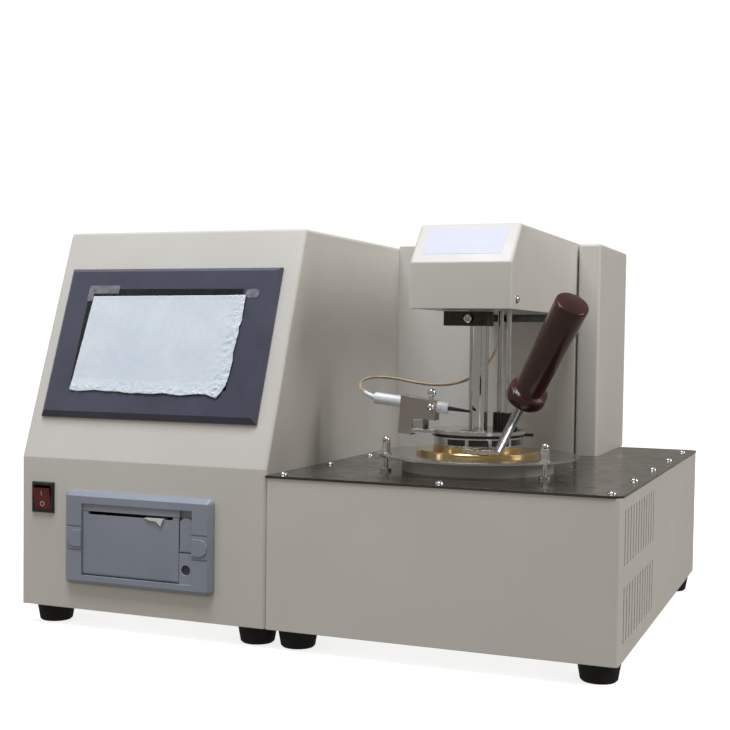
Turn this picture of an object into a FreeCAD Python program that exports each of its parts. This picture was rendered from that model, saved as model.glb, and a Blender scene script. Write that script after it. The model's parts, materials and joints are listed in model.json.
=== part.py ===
import FreeCAD, Part
import math
import os
import Sketcher

# Flash point tester: console with touch panel and printer, heating base with test cup,
# lift tower and a head that carries lid, stirrer, igniter and probe.
# Bench coordinates while building: X to the right with 0 at the seam between console and
# base, Y to the back with 0 at the front faces, Z up with 0 under the shells.

os.makedirs("parts", exist_ok=True)
doc = FreeCAD.newDocument("FlashPointTester")
sheet = doc.addObject("Spreadsheet::Sheet", "Sizes")
Vector = FreeCAD.Vector
Rotation = FreeCAD.Rotation

SIZES = {
    "General": {
        "gauge": 1.5, "bend": 3.5, "overrun": 5, "slack": 0.3, "loose": 0.6,
        "fit": 0.05, "hair": 0.001, "screw_radius": 2, "screw_head": 3.8, "screw_dome": 2.2,
        "socket_radius": 1.2, "socket_depth": 1.2, "body_depth": 450,
    },
    "Console": {
        "console_width": 250, "console_height": 346.5, "bend_height": 136, "slope_setback": 77,
        "back_vent_inset": 50, "back_vent_drop": 129, "back_vent_height": 44,
    },
    "Base": {
        "base_width": 300, "base_height": 129.5,
        "plate_gauge": 2, "plate_overhang": 1, "plate_corner": 9,
        "screw_inset": 10, "screw_front": 14, "screw_back": 36,
        "vent_width": 3, "vent_pitch": 12.6, "vent_first": 18,
        "vent_low": 14, "vent_gap": 17, "vent_top": 10.5,
    },
    "Feet": {
        "foot_height": 18, "foot_radius": 18, "foot_tip": 15, "foot_inset": 19.5,
        "foot_setback": 27, "foot_hole": 5, "foot_hole_depth": 9, "foot_round": 1.5,
    },
    "Touch panel": {
        "panel_left": 13, "panel_right": 15.5, "panel_height": 146.5,
        "panel_proud": 6.5, "panel_chamfer": 4.5, "window_width": 156, "window_height": 90,
        "rebate": 3, "glass_gauge": 2, "glass_sink": 1.2,
        "film_gauge": 0.5, "film_width": 161, "film_height": 94, "housing_depth": 34,
        "housing_margin": 7, "cutout_margin": 5, "clamp_width": 12, "clamp_reach": 11,
        "clamp_depth": 18, "clamp_inset": 42,
    },
    "Switch": {
        "switch_left": 12.2, "switch_low": 85.6, "switch_width": 24, "switch_height": 28,
        "switch_proud": 2.2, "switch_rim": 3, "switch_depth": 26, "switch_wall": 1.5,
        "rocker_half_angle": 10, "rocker_crown": 2.6, "rocker_depth": 9,
        "rocker_pivot": 1.5, "rocker_pivot_sink": 3,
    },
    "Printer": {
        "printer_left": 50.3, "printer_low": 23.6, "printer_width": 151,
        "printer_height": 84.3, "printer_proud": 6.5, "printer_chamfer": 4,
        "printer_corner": 5, "bay_left": 19.2, "bay_right": 18.7, "bay_low": 9,
        "bay_top": 10.5, "bar_height": 6.6, "step_width": 6,
        "step_height": 2.4, "door_gap": 0.6, "door_sink": 1.5, "door_gauge": 3,
        "column_width": 13, "column_gap": 0.8, "hinge_radius": 2.4,
        "hinge_pin": 1.2, "hinge_back": 3.2, "clip_width": 15,
        "clip_height": 20, "clip_raise": 1, "clip_groove": 1.4, "clip_groove_depth": 0.8,
        "case_depth": 58, "case_wall": 2, "roll_radius": 19, "roll_width": 57,
        "roll_core": 6, "roll_y": 33,
        "platen_radius": 4, "platen_shaft": 1.5, "platen_y": 8.5, "platen_drop": 13,
        "stub_width": 19, "stub_from_right": 15.6, "stub_gauge": 0.4, "stub_drop": 6,
        "stub_reach": 1, "stub_tail": 8, "lever_height": 30, "lever_gauge": 3,
        "lever_top": 3.2, "lever_crown": 7.1, "lever_pin": 1.2, "lever_foot": 3.2,
        "lever_notch": 7, "button_radius": 4.4, "button_length": 7,
        "button_sink": 1.4, "button_collar": 6, "button_collar_gauge": 1.4,
        "ear_gauge": 3,
    },
    "Electronics": {
        "inlet_width": 28, "inlet_height": 48, "inlet_depth": 26, "inlet_flange": 2.5,
        "inlet_margin": 9, "inlet_left": 34, "inlet_low": 34, "pin_width": 2, "pin_deep": 4,
        "pin_length": 12.8, "pin_pitch": 7, "socket_width": 24.5, "socket_height": 16.5,
        "socket_deep": 17, "fuse_radius": 6, "fuse_length": 3, "fuse_rise": 9.6,
        "supply_width": 98, "supply_depth": 159, "supply_height": 38, "supply_right": 26,
        "supply_back": 39.5, "board_width": 120, "board_depth": 150, "board_gauge": 1.6,
        "board_left": 30, "board_front": 90, "spacer_radius": 3, "spacer_height": 8,
        "spacer_inset": 6, "chip_width": 24, "chip_height": 4, "chip_first": 12,
        "chip_pitch": 33.6, "block_width": 14,
        "block_height": 11, "block_length": 80,
    },
    "Bath": {
        "cup_x": 147.2, "cup_y": 129.7, "disc_radius": 90.5, "disc_rise": 15,
        "disc_gauge": 2, "disc_hole": 53, "collar_radius": 68, "collar_wall": 3,
        "bath_radius": 50, "bath_bore": 31, "bath_gap": 4.1, "bath_bottom": 30,
        "bath_flange": 66, "bath_flange_gauge": 5, "plate_hole": 58,
        "heater_radius": 55, "heater_lift": 8, "heater_height": 46, "heater_gap": 4,
        "tab_reach": 12, "tab_margin": 11.5,
        "brass_radius": 55.2, "brass_gauge": 4, "brass_bore": 28, "brass_chamfer": 1,
        "stud_circle": 83, "stud_first_angle": 90, "stud_radius": 2,
        "nut_radius": 4, "nut_height": 3, "nut_step": 3.2, "washer_radius": 5, "washer_gauge": 1,
        "cap_radius": 3.6, "cap_neck": 3, "cap_rise": 1.8,
        "foot_nut_radius": 5, "foot_nut_height": 2.5,
    },
    "Cup": {
        "cup_outer": 27.4, "cup_inner": 25.4, "cup_deep": 55.9, "cup_bottom": 2.5,
        "cup_flange": 39.7, "cup_flange_gauge": 4, "cup_ledge": 34,
        "lug_left": 3.4, "lug_right": 34, "lug_reach": 52.2,
        "handle_foot_right": 32.8, "handle_foot_front": 49.7,
        "handle_run_x": 78.3, "handle_run_y": -75.5, "handle_rise": 123.7,
        "strap_length": 30, "strap_width": 9, "strap_gauge": 2.5, "strap_proud": 0.1,
        "handle_rod": 4, "rod_visible": 62, "rod_inside": 30, "grip_radius": 13.8,
        "grip_length": 104, "grip_ring": 16.6, "grip_ring_length": 13, "grip_round": 2,
        "grip_neck": 12.4, "ring_round": 3, "rod_start": 4,
    },
    "Cooling fan": {
        "fan_size": 92, "fan_gauge": 25, "fan_bore": 43, "fan_hub": 18, "fan_pin": 17.5,
        "fan_blade_reach": 41, "fan_blade_gauge": 1.6, "fan_blade_pitch": 28, "fan_stator": 16,
        "fan_strut": 5, "fan_hole": 2.2, "fan_hole_inset": 5, "fan_boss_gap": 0.5,
    },
    "Tower": {
        "tower_column": 22.7, "tower_overhang": 16.6, "tower_depth": 147.8,
        "tower_height": 216.7, "seam_gap": 1.6, "sill_gap": 7, "window_gap": 1.2,
        "front_corner": 1.35, "fold_depth": 20, "ledge_depth": 10,
        "block_gauge": 10, "block_depth": 28, "mast_clear": 2.3, "mast_inset": 68.6,
        "guide_spread": 27, "guide_radius": 6, "guide_top_gap": 18.7, "screw_rod": 5,
        "coupling_radius": 10, "coupling_height": 24, "coupling_lift": 4,
        "motor_size": 57, "motor_height": 56, "motor_pilot": 12, "motor_pilot_height": 1.6,
        "motor_shaft": 4, "motor_shaft_length": 22, "screw_clear": 6.2,
    },
    "Carriage": {
        "carriage_low": 44, "carriage_height": 52, "carriage_depth": 34,
        "arm_gauge": 6, "arm_overlap": 10,
    },
    "Hood": {
        "hood_width": 91.6, "hood_front": 67.5, "hood_proud": 1.1, "hood_height": 74.3,
        "hood_front_height": 39.4, "hood_setback": 30.5, "hood_round": 3, "hood_back_gap": 2.5,
        "floor_gauge": 2, "floor_lip": 16, "hood_screw_y": 17, "hood_screw_z": 8.5,
        "hood_screw_pitch": 190,
    },
    "Stirrer": {
        "tube_radius": 8.6, "tube_wall": 1.2, "shaft_radius": 2.5,
        "stirrer_motor_radius": 15.5, "stirrer_motor_height": 42, "motor_plate": 4,
        "motor_plate_size": 50, "motor_plate_trim": 3, "rod_clearance": 5,
        "blade_gauge": 1.4, "blade_width": 8, "blade_reach": 15,
        "blade_rise": 12, "vapour_blade_rise": 42, "hub_radius": 4.5, "hub_height": 9,
        "blade_pitch": 45, "blade_first_angle": 45,
    },
    "Clamps": {
        "clamp_top_gap": 1, "clamp_height": 13, "clamp_wall": 4, "clamp_bar": 30,
        "clamp_bar_depth": 12, "clamp_screw": 2.6, "clamp_screw_reach": 13.5,
        "probe_angle": 41, "probe_distance": 21, "probe_radius": 2.5, "probe_depth": 44,
        "probe_head": 16, "lever_rod_distance": 26.4, "lever_rod_angle": 7.6,
        "lever_rod_radius": 2.5, "collar_height": 15, "probe_collar": 3.2,
        "crank_radius": 6.2, "crank_reach": 10, "crank_gauge": 3, "crank_pin": 1.8,
        "crank_width": 5.4, "crank_swing": 43.7, "slot_step": 6, "slot_ease": 2,
        "crank_slot_ease": 3,
    },
    "Lid": {
        "lid_gap": 0.3, "skirt_height": 7.8, "skirt_wall": 5, "skirt_top": 3,
        "boss_radius": 11, "shutter_gauge": 2.2, "shutter_radius": 41,
        "shutter_tip": 49.5, "shutter_tip_width": 10, "shutter_tip_angle": 22, "shutter_swing": 24,
        "lid_gauge": 3.2, "lid_radius": 43, "port_width": 8, "port_depth": 10,
        "port_offset": 20, "window_back": 10, "window_front": 6, "ear_length": 52.7,
        "ear_width": 22,
    },
    "Igniter": {
        "igniter_tilt": 6, "arm_offset": 19.7, "pivot_back": 47.2, "pivot_rise": 5,
        "pivot_radius": 1.5, "lobe_radius": 3.3, "cheek_gauge": 2.5, "cheek_width": 9,
        "cheek_top": 3.5, "block_left": 18.5, "block_right": 14.5, "block_top_left": 22.8,
        "block_top_right": 21.6, "lean_left": 1.5, "lean_right": 0.75, "block_under": 4.4,
        "leg_width": 12.5, "leg_drop": 7,
        "block_thickness": 12, "sleeve_radius": 5.2, "sleeve_length": 70,
        "sleeve_lift": 16.4, "sleeve_back": 46, "nozzle_radius": 2, "nozzle_tip": 1.1,
        "nozzle_length": 20, "nozzle_sunk": 8, "dome_radius": 3.8, "dome_stem": 2,
        "dome_stem_height": 4, "dome_one": 7, "dome_rise": 2.3, "dome_small": 3.4,
        "lead_radius": 1.5,
    },
}


# A length that knows its value and the sheet formula that it comes from
class Size:
    def __init__(self, value, formula):
        self.value = float(value)
        self.formula = formula

    def __add__(self, other):
        return Size(self.value + number(other), f"({self.formula} + {text(other)})")

    def __sub__(self, other):
        return Size(self.value - number(other), f"({self.formula} - {text(other)})")

    def __mul__(self, other):
        return Size(self.value * number(other), f"({self.formula} * {text(other)})")

    def __truediv__(self, other):
        return Size(self.value / number(other), f"({self.formula} / {text(other)})")

    def __rmul__(self, other):
        return self * other

    def __radd__(self, other):
        return self + other

    def __neg__(self):
        return Size(-self.value, f"(-1 * {self.formula})")

    def root(self):
        return Size(math.sqrt(self.value), f"sqrt({self.formula})")


def number(item):
    return item.value if isinstance(item, Size) else float(item)


def text(item):
    return item.formula if isinstance(item, Size) else repr(item)


class Named:
    pass


s = Named()
row = 1
for heading, entries in SIZES.items():
    sheet.set(f"A{row}", heading)
    row += 1
    for alias, value in entries.items():
        sheet.set(f"A{row}", alias)
        sheet.set(f"B{row}", str(value))
        sheet.setAlias(f"B{row}", alias)
        setattr(s, alias, Size(value, f"Sizes.{alias}"))
        row += 1
doc.recompute()

ZERO = Size(0, "0")
ORIGIN = (ZERO, ZERO, ZERO)
AXES = {
    "X": Rotation(Vector(0, 1, 0), 90),
    "Y": Rotation(Vector(1, 0, 0), -90),
    "Z": Rotation(),
}
PLANES = {"XY": "XY_Plane", "XZ": "XZ_Plane", "YZ": "YZ_Plane"}
start_points = {}
pieces = {}


def moved(point, shift):
    return tuple(a + b for a, b in zip(point, shift))


def put(item, at, turn=None):
    if turn is not None:
        item.Placement = FreeCAD.Placement(Vector(), turn)
    start_points[item.Name] = at
    for letter, length in zip("xyz", at):
        if isinstance(length, Size) and length.formula != "0":
            item.setExpression(f"Placement.Base.{letter}", length.formula)
    return item


def bind(item, **lengths):
    for name, length in lengths.items():
        setattr(item, name, number(length))
        if isinstance(length, Size):
            item.setExpression(name, length.formula)
    return item


# Solid primitives, each bound to the sheet
def block(x, y, z):
    item = doc.addObject("Part::Box", "Block")
    bind(item, Length=x[1] - x[0], Width=y[1] - y[0], Height=z[1] - z[0])
    return put(item, (x[0], y[0], z[0]))


def rod(radius, at, length, axis="Z"):
    item = doc.addObject("Part::Cylinder", "Rod")
    bind(item, Radius=radius, Height=length)
    return put(item, at, AXES[axis])


def cone(low, high, at, length, axis="Z"):
    item = doc.addObject("Part::Cone", "Cone")
    bind(item, Radius1=low, Radius2=high, Height=length)
    return put(item, at, AXES[axis])


def ball(radius, at):
    item = doc.addObject("Part::Sphere", "Ball")
    bind(item, Radius=radius)
    return put(item, at)


def prism(radius, at, length):
    item = doc.addObject("Part::Prism", "Prism")
    item.Polygon = 6
    bind(item, Circumradius=radius, Height=length)
    return put(item, at)


# Boolean and grouping steps
def fuse(*items):
    joined = doc.addObject("Part::MultiFuse", "Joined")
    joined.Shapes = list(items)
    joined.Refine = True
    return joined


def cut(base, *tools):
    result = doc.addObject("Part::Cut", "Trimmed")
    result.Base = base
    result.Tool = tools[0] if len(tools) == 1 else fuse(*tools)
    result.Refine = True
    return result


def common(first, second):
    result = doc.addObject("Part::Common", "Shared")
    result.Base = first
    result.Tool = second
    return result


def group(*items):
    together = doc.addObject("Part::Compound", "Together")
    together.Links = list(items)
    return together


def tube(outer, inner, at, length, axis="Z"):
    reach = [s.overrun if letter == axis else ZERO for letter in "XYZ"]
    low = tuple(a - b for a, b in zip(at, reach))
    return cut(rod(outer, at, length, axis), rod(inner, low, length + 2 * s.overrun, axis))


def rounded(base, radius, pick):
    doc.recompute()
    edges = [i + 1 for i, edge in enumerate(base.Shape.Edges) if pick(edge.BoundBox, edge)]
    result = doc.addObject("Part::Fillet", "Rounded")
    result.Base = base
    result.Edges = [(i, number(radius), number(radius)) for i in edges]
    return result


def bevelled(base, width, pick):
    doc.recompute()
    edges = [i + 1 for i, edge in enumerate(base.Shape.Edges) if pick(edge.BoundBox, edge)]
    result = doc.addObject("Part::Chamfer", "Bevelled")
    result.Base = base
    result.Edges = [(i, number(width), number(width)) for i in edges]
    return result


# Sketched solids
def sketch(body, plane, points):
    drawing = body.newObject("Sketcher::SketchObject", "Outline")
    role = PLANES[plane]
    face = [item for item in body.Origin.OriginFeatures if item.Role == role][0]
    drawing.AttachmentSupport = [(face, "")]
    drawing.MapMode = "FlatFace"
    corners = [Vector(number(x), number(y), 0) for x, y in points]
    count = len(corners)
    for i in range(count):
        drawing.addGeometry(Part.LineSegment(corners[i], corners[(i + 1) % count]), False)
    for i in range(count):
        drawing.addConstraint(Sketcher.Constraint("Coincident", i, 2, (i + 1) % count, 1))
    for i, (x, y) in enumerate(points):
        for kind, length, axis in (("DistanceX", x, -2), ("DistanceY", y, -1)):
            if number(length) == 0:
                drawing.addConstraint(Sketcher.Constraint("PointOnObject", i, 1, axis))
                continue
            index = drawing.addConstraint(Sketcher.Constraint(kind, -1, 1, i, 1, number(length)))
            drawing.setExpression(f"Constraints[{index}]", text(length))
    return drawing


def padded(plane, points, length, at=ORIGIN, turn=None):
    body = doc.addObject("PartDesign::Body", "Body")
    pad = body.newObject("PartDesign::Pad", "Pad")
    pad.Profile = sketch(body, plane, points)
    pad.Reversed = plane == "XZ"
    bind(pad, Length=length)
    body.Tip = pad
    return put(body, at, turn)


def turned(points, at=ORIGIN, turn=None):
    body = doc.addObject("PartDesign::Body", "Body")
    profile = sketch(body, "XZ", points)
    revolution = body.newObject("PartDesign::Revolution", "Revolution")
    revolution.Profile = profile
    revolution.ReferenceAxis = (profile, ["V_Axis"])
    revolution.Angle = 360
    body.Tip = revolution
    return put(body, at, turn)


# Where the finished piece goes: origin under the middle of the machine, at its feet
foot_drop = s.foot_height
middle_x = (s.base_width - s.console_width) / 2
tower_back = s.body_depth + s.tower_overhang
middle_y = (tower_back - s.printer_proud - s.clip_raise) / 2
HOME = (-middle_x, -middle_y, foot_drop)


def piece(label, item, at=None, turn=None):
    item.Label = label
    start = start_points.get(item.Name, ORIGIN) if at is None else at
    put(item, moved(start, HOME), turn)
    pieces[label] = item
    return item


# Heights and places that several pieces share
left = -s.console_width
base_top = s.base_height + s.plate_gauge
disc_top = base_top + s.disc_rise
disc_under = disc_top - s.disc_gauge
brass_top = disc_top + s.brass_gauge
flange_top = brass_top + s.cup_flange_gauge
strap_low = flange_top - s.strap_gauge + s.strap_proud
handle_foot = (s.cup_x + s.handle_foot_right, s.cup_y - s.handle_foot_front)
cup_floor = flange_top - s.cup_deep
skirt_low = flange_top + s.lid_gap
skirt_high = skirt_low + s.skirt_height
shutter_low = skirt_high + s.lid_gap
shutter_high = shutter_low + s.shutter_gauge
lid_low = shutter_high + s.lid_gap
lid_high = lid_low + s.lid_gauge
tower_top = base_top + s.tower_height
tower_y = tower_back - s.tower_depth
hood_left = s.cup_x - s.hood_width / 2
hood_right = s.cup_x + s.hood_width / 2
hood_back = tower_back - s.gauge - s.hood_back_gap
hood_top = tower_top + s.hood_proud
hood_low = hood_top - s.hood_height
hood_bend = hood_low + s.hood_front_height
column_left = hood_right + s.seam_gap
tower_right = column_left + s.tower_column
mast_y = tower_back - s.mast_inset
mast_half = s.hood_width / 2 - s.gauge - s.mast_clear
mast_low = base_top + s.block_gauge
guide_height = s.tower_height - s.guide_top_gap
floor_top = hood_low + s.floor_gauge
slope_rise = s.console_height - s.bend_height
slope_run = (s.slope_setback * s.slope_setback + slope_rise * slope_rise).root()
panel_width = s.console_width - s.panel_left - s.panel_right
panel_rise = (slope_run - s.panel_height) / 2
hair = s.hair.value


def on_axis(z, dx=ZERO, dy=ZERO):
    return (s.cup_x + dx, s.cup_y + dy, z)


def polar(distance, degrees):
    turn = math.radians(degrees)
    return distance * math.cos(turn), distance * math.sin(turn)


probe_home = polar(s.probe_distance, s.probe_angle.value)
lever_home = polar(s.lever_rod_distance, s.lever_rod_angle.value)


# Console shell: bent sheet with a sloping front, open at the back and below
def console_profile(inset, reach):
    shift = inset * slope_run / slope_rise
    low = s.bend_height - (inset * slope_run - inset * slope_rise) / s.slope_setback
    top = s.console_height - inset
    high_y = shift + s.slope_setback - inset * s.slope_setback / slope_rise
    return [
        (inset, -reach),
        (s.body_depth + reach, -reach),
        (s.body_depth + reach, top),
        (high_y, top),
        (inset, low),
    ]


def slope_turn():
    return Rotation(Vector(1, 0, 0), math.degrees(math.atan2(slope_rise.value, s.slope_setback.value)))


SLOPE_HOME = (left, ZERO, s.bend_height)
VENT_COUNT = 12


def on_slope(item):
    return put(item, SLOPE_HOME, slope_turn())


def console_shell():
    outer = padded("YZ", console_profile(ZERO, ZERO), s.console_width, (left, ZERO, ZERO))
    back = s.body_depth.value - hair
    outer = rounded(outer, s.bend, lambda box, edge: box.YMin < back and box.ZMax > hair)
    inner = padded("YZ", console_profile(s.gauge, s.overrun), s.console_width - 2 * s.gauge,
                   (left + s.gauge, ZERO, ZERO))
    margin = s.cutout_margin
    screen_hole = on_slope(group(screen_box(s.housing_margin - s.slack, s.housing_margin - s.slack,
                                            -2 * margin, margin)))
    printer_hole = block(
        (printer_x + margin, printer_x + s.printer_width - margin),
        (-s.overrun, s.overrun),
        (s.printer_low + margin, printer_top - margin))
    switch_hole = switch_box(s.switch_wall, -s.overrun, s.overrun)
    return piece("console_shell", cut(outer, inner, screen_hole, printer_hole, switch_hole))


def inlet_box(margin, front, back):
    low_x = left + s.inlet_left
    return block((low_x - margin, low_x + s.inlet_width + margin), (front, back),
                 (s.inlet_low - margin, s.inlet_low + s.inlet_height + margin))


def vent_row(first):
    return [first + i * s.vent_pitch for i in range(VENT_COUNT)]


def console_back_panel():
    low_x = left + s.gauge
    back = s.body_depth
    panel = block((low_x, -s.gauge), (back - s.gauge, back), (s.gauge, s.console_height - s.gauge))
    hole = inlet_box(ZERO, back - s.overrun, back + s.overrun)
    high = s.console_height - s.back_vent_drop
    slots = [block((x, x + s.vent_width), (back - s.overrun, back + s.overrun),
                   (high - s.back_vent_height, high))
             for x in vent_row(low_x + s.back_vent_inset)]
    return piece("console_back_panel", cut(panel, hole, *slots))


def floor_plates():
    deep = (s.gauge, s.body_depth - s.gauge)
    console_floor = block((left + s.gauge, -s.gauge), deep, (ZERO, s.gauge))
    base_floor = block((s.gauge, s.base_width - s.gauge), deep, (ZERO, s.gauge))
    return piece("floor_plates", group(console_floor, base_floor))


def rubber_feet():
    feet = []
    for low_x, high_x in ((left, ZERO), (ZERO, s.base_width)):
        for x in (low_x + s.foot_inset, high_x - s.foot_inset):
            for y in (s.foot_setback, s.body_depth - s.foot_setback):
                feet.append(turned([
                    (ZERO, -s.foot_height + s.foot_hole_depth),
                    (s.foot_hole, -s.foot_height + s.foot_hole_depth),
                    (s.foot_hole, -s.foot_height),
                    (s.foot_tip - s.foot_round, -s.foot_height),
                    (s.foot_tip, -s.foot_height + s.foot_round),
                    (s.foot_radius, ZERO),
                    (ZERO, ZERO),
                ], (x, y, ZERO)))
    return piece("rubber_feet", group(*feet))


# Touch panel, built in the plane of the slope: X across, Y up the slope, Z outward
def screen_box(margin_x, margin_y, low, high):
    return block((s.panel_left + margin_x, s.panel_left + panel_width - margin_x),
                 (panel_rise + margin_y, panel_rise + s.panel_height - margin_y), (low, high))


def screen_bezel():
    frame = screen_box(ZERO, ZERO, ZERO, s.panel_proud)
    top = s.panel_proud.value - hair
    frame = bevelled(frame, s.panel_chamfer, lambda box, edge: box.ZMin > top)
    side = (panel_width - s.window_width) / 2
    rim = (s.panel_height - s.window_height) / 2
    window = screen_box(side, rim, -s.overrun, s.panel_proud + s.overrun)
    seat = screen_box(side - s.rebate, rim - s.rebate, -s.overrun, s.panel_proud - s.glass_sink)
    item = cut(frame, window, seat)
    return piece("screen_bezel", group(item), SLOPE_HOME, slope_turn())


def screen_glass():
    side = (panel_width - s.window_width) / 2 - s.rebate
    rim = (s.panel_height - s.window_height) / 2 - s.rebate
    high = s.panel_proud - s.glass_sink
    return piece("screen_glass", group(screen_box(side, rim, high - s.glass_gauge, high)),
                 SLOPE_HOME, slope_turn())


def screen_film():
    side = (panel_width - s.film_width) / 2
    rim = (s.panel_height - s.film_height) / 2
    return piece("screen_film", group(screen_box(side, rim, s.panel_proud, s.panel_proud + s.film_gauge)),
                 SLOPE_HOME, slope_turn())


def screen_housing():
    side = (panel_width - s.window_width) / 2 - s.rebate
    rim = (s.panel_height - s.window_height) / 2 - s.rebate
    high = s.panel_proud - s.glass_sink - s.glass_gauge
    body = screen_box(s.housing_margin, s.housing_margin, -s.housing_depth, ZERO)
    pedestal = screen_box(side, rim, ZERO, high)
    clamps = []
    behind = -s.gauge - s.slack
    low_end = panel_rise + s.housing_margin
    high_end = panel_rise + s.panel_height - s.housing_margin
    for x in (s.panel_left + s.clamp_inset, s.panel_left + panel_width - s.clamp_inset - s.clamp_width):
        for run in ((low_end - s.clamp_reach, low_end), (high_end, high_end + s.clamp_reach)):
            clamps.append(block((x, x + s.clamp_width), run, (behind - s.clamp_depth, behind)))
    return piece("screen_housing", fuse(body, pedestal, *clamps), SLOPE_HOME, slope_turn())


# Rocker switch
def switch_box(margin, front, back):
    low_x = left + s.switch_left
    return block((low_x + margin, low_x + s.switch_width - margin), (front, back),
                 (s.switch_low + margin, s.switch_low + s.switch_height - margin))


def switch_bezel():
    front = -s.switch_proud.value + hair
    plate = switch_box(ZERO, -s.switch_proud, ZERO)
    plate = bevelled(plate, s.switch_proud / 2, lambda box, edge: box.YMax < front)
    body = switch_box(s.switch_wall, ZERO, s.switch_depth)
    well = switch_box(s.switch_rim, -s.overrun, s.rocker_pivot_sink + s.rocker_depth + s.loose)
    centre_z = s.switch_low + s.switch_height / 2
    pin = rod(s.rocker_pivot, (left + s.switch_left + s.switch_wall, s.rocker_pivot_sink, centre_z),
              s.switch_width - 2 * s.switch_wall, "X")
    return piece("switch_bezel", fuse(cut(fuse(plate, body), well), pin))


rocker_back_share = 0.33
rocker_waist_share = 0.9
rocker_keel_share = 0.8


def switch_rocker():
    half = s.switch_height / 2 - s.switch_rim - 2 * s.loose
    wide = s.switch_width - 2 * s.switch_rim - s.loose
    front = s.rocker_pivot_sink + s.rocker_crown
    dish = half * math.tan(math.radians(s.rocker_half_angle.value)) / 2
    back = s.rocker_depth * rocker_back_share
    profile = [
        (-front, ZERO),
        (-front - dish, half),
        (back, half * rocker_waist_share),
        (s.rocker_depth * rocker_keel_share, ZERO),
        (back, -half * rocker_waist_share),
        (-front - dish, -half),
    ]
    low_x = left + s.switch_left + s.switch_rim + s.loose / 2
    centre_z = s.switch_low + s.switch_height / 2
    solid = padded("YZ", profile, wide)
    bore = rod(s.rocker_pivot + s.fit, (-s.overrun, ZERO, ZERO), wide + 2 * s.overrun, "X")
    tilt = Rotation(Vector(1, 0, 0), s.rocker_half_angle.value)
    return piece("switch_rocker", cut(solid, bore), (low_x, s.rocker_pivot_sink, centre_z), tilt)


# Panel printer
printer_x = left + s.printer_left
printer_top = s.printer_low + s.printer_height
bay_x = (printer_x + s.bay_left, printer_x + s.printer_width - s.bay_right)
bay_z = (s.printer_low + s.bay_low, printer_top - s.bay_top)
column_x = (bay_x[1] - s.column_width, bay_x[1])
bar_low = bay_z[1] - s.bar_height
door_front = -(s.printer_proud - s.door_sink)
door_x = (bay_x[0] + s.door_gap, column_x[0] - s.door_gap)
door_mid = (door_x[0] + door_x[1]) / 2
hinge_y = door_front + s.hinge_radius
hinge_z = bay_z[0] + s.door_gap + s.hinge_radius
lever_x = (column_x[0] + s.column_gap, column_x[1] - s.column_gap)
lever_high = bay_z[1] - s.lever_notch
lever_low = lever_high - s.lever_height
lever_y = door_front + s.lever_foot / 2
lever_z = lever_low + s.lever_foot / 2
button_height_share = 0.46
button_z = bay_z[0] + (lever_low - s.loose - bay_z[0]) * button_height_share
button_mid = ((column_x[0] + column_x[1]) / 2, button_z)
roll_y = s.roll_y
roll_z = (bay_z[0] + bay_z[1]) / 2
platen_z = bar_low - s.platen_drop + s.platen_radius
clip_nose_share = 0.72


def printer_clip(outer, inner, facing, middle):
    nose = s.clip_height / 2 * clip_nose_share
    centre = inner - facing * (s.clip_width - nose)
    run = (centre, inner) if facing > 0 else (inner, centre)
    front = -s.printer_proud - s.clip_raise
    return [block(run, (front, -s.printer_proud), (middle - nose, middle + nose)),
            rod(nose, (centre, front, middle), s.clip_raise, "Y")]


def printer_bezel():
    tall = s.printer_proud.value - hair
    plate = block((printer_x, printer_x + s.printer_width), (-s.printer_proud, ZERO),
                  (s.printer_low, printer_top))
    plate = rounded(plate, s.printer_corner, lambda box, edge: box.YLength > tall)
    plate = bevelled(plate, s.printer_chamfer, lambda box, edge: box.YMax < -tall)
    bay = block(bay_x, (-s.printer_proud - s.overrun, s.overrun), bay_z)
    frame = cut(plate, bay)
    bar = block((bay_x[0], column_x[0]), (door_front, ZERO), (bar_low, bay_z[1]))
    column_back = block(column_x, (door_front + s.lever_foot + s.slack, ZERO), bay_z)
    column_foot = block(column_x, (door_front, ZERO), (bay_z[0], lever_low - s.loose))
    cheek = block((column_x[0], lever_x[0] - s.slack), (door_front, ZERO),
                  (lever_low, lever_low + s.lever_foot))
    lever_pin = rod(s.lever_pin, (column_x[0], lever_y, lever_z), s.column_width, "X")
    reach = s.hinge_back + s.door_gap
    pins = [rod(s.hinge_pin, (x, hinge_y, hinge_z), reach, "X")
            for x in (door_x[0] - s.door_gap, door_x[1] - s.hinge_back)]
    middle = s.printer_low + s.printer_height / 2
    sides = ((printer_x, bay_x[0], 1), (printer_x + s.printer_width, bay_x[1], -1))
    clips = [part for outer, inner, facing in sides for part in printer_clip(outer, inner, facing, middle)]
    body = fuse(frame, bar, column_back, column_foot, cheek, lever_pin, *pins, *clips)
    grooves = []
    half = s.clip_height / 2
    deep = (-s.printer_proud - s.overrun, -s.printer_proud + s.clip_groove_depth)
    for run in ((printer_x - s.overrun, bay_x[0]), (bay_x[1], printer_x + s.printer_width + s.overrun)):
        for z in (middle - half - s.clip_groove, middle + half):
            grooves.append(block(run, deep, (z, z + s.clip_groove)))
    button_hole = rod(s.button_radius + s.fit, (button_mid[0], -s.printer_proud - s.overrun, button_mid[1]),
                      s.printer_proud + 2 * s.overrun, "Y")
    return piece("printer_bezel", cut(body, button_hole, *grooves))


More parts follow.
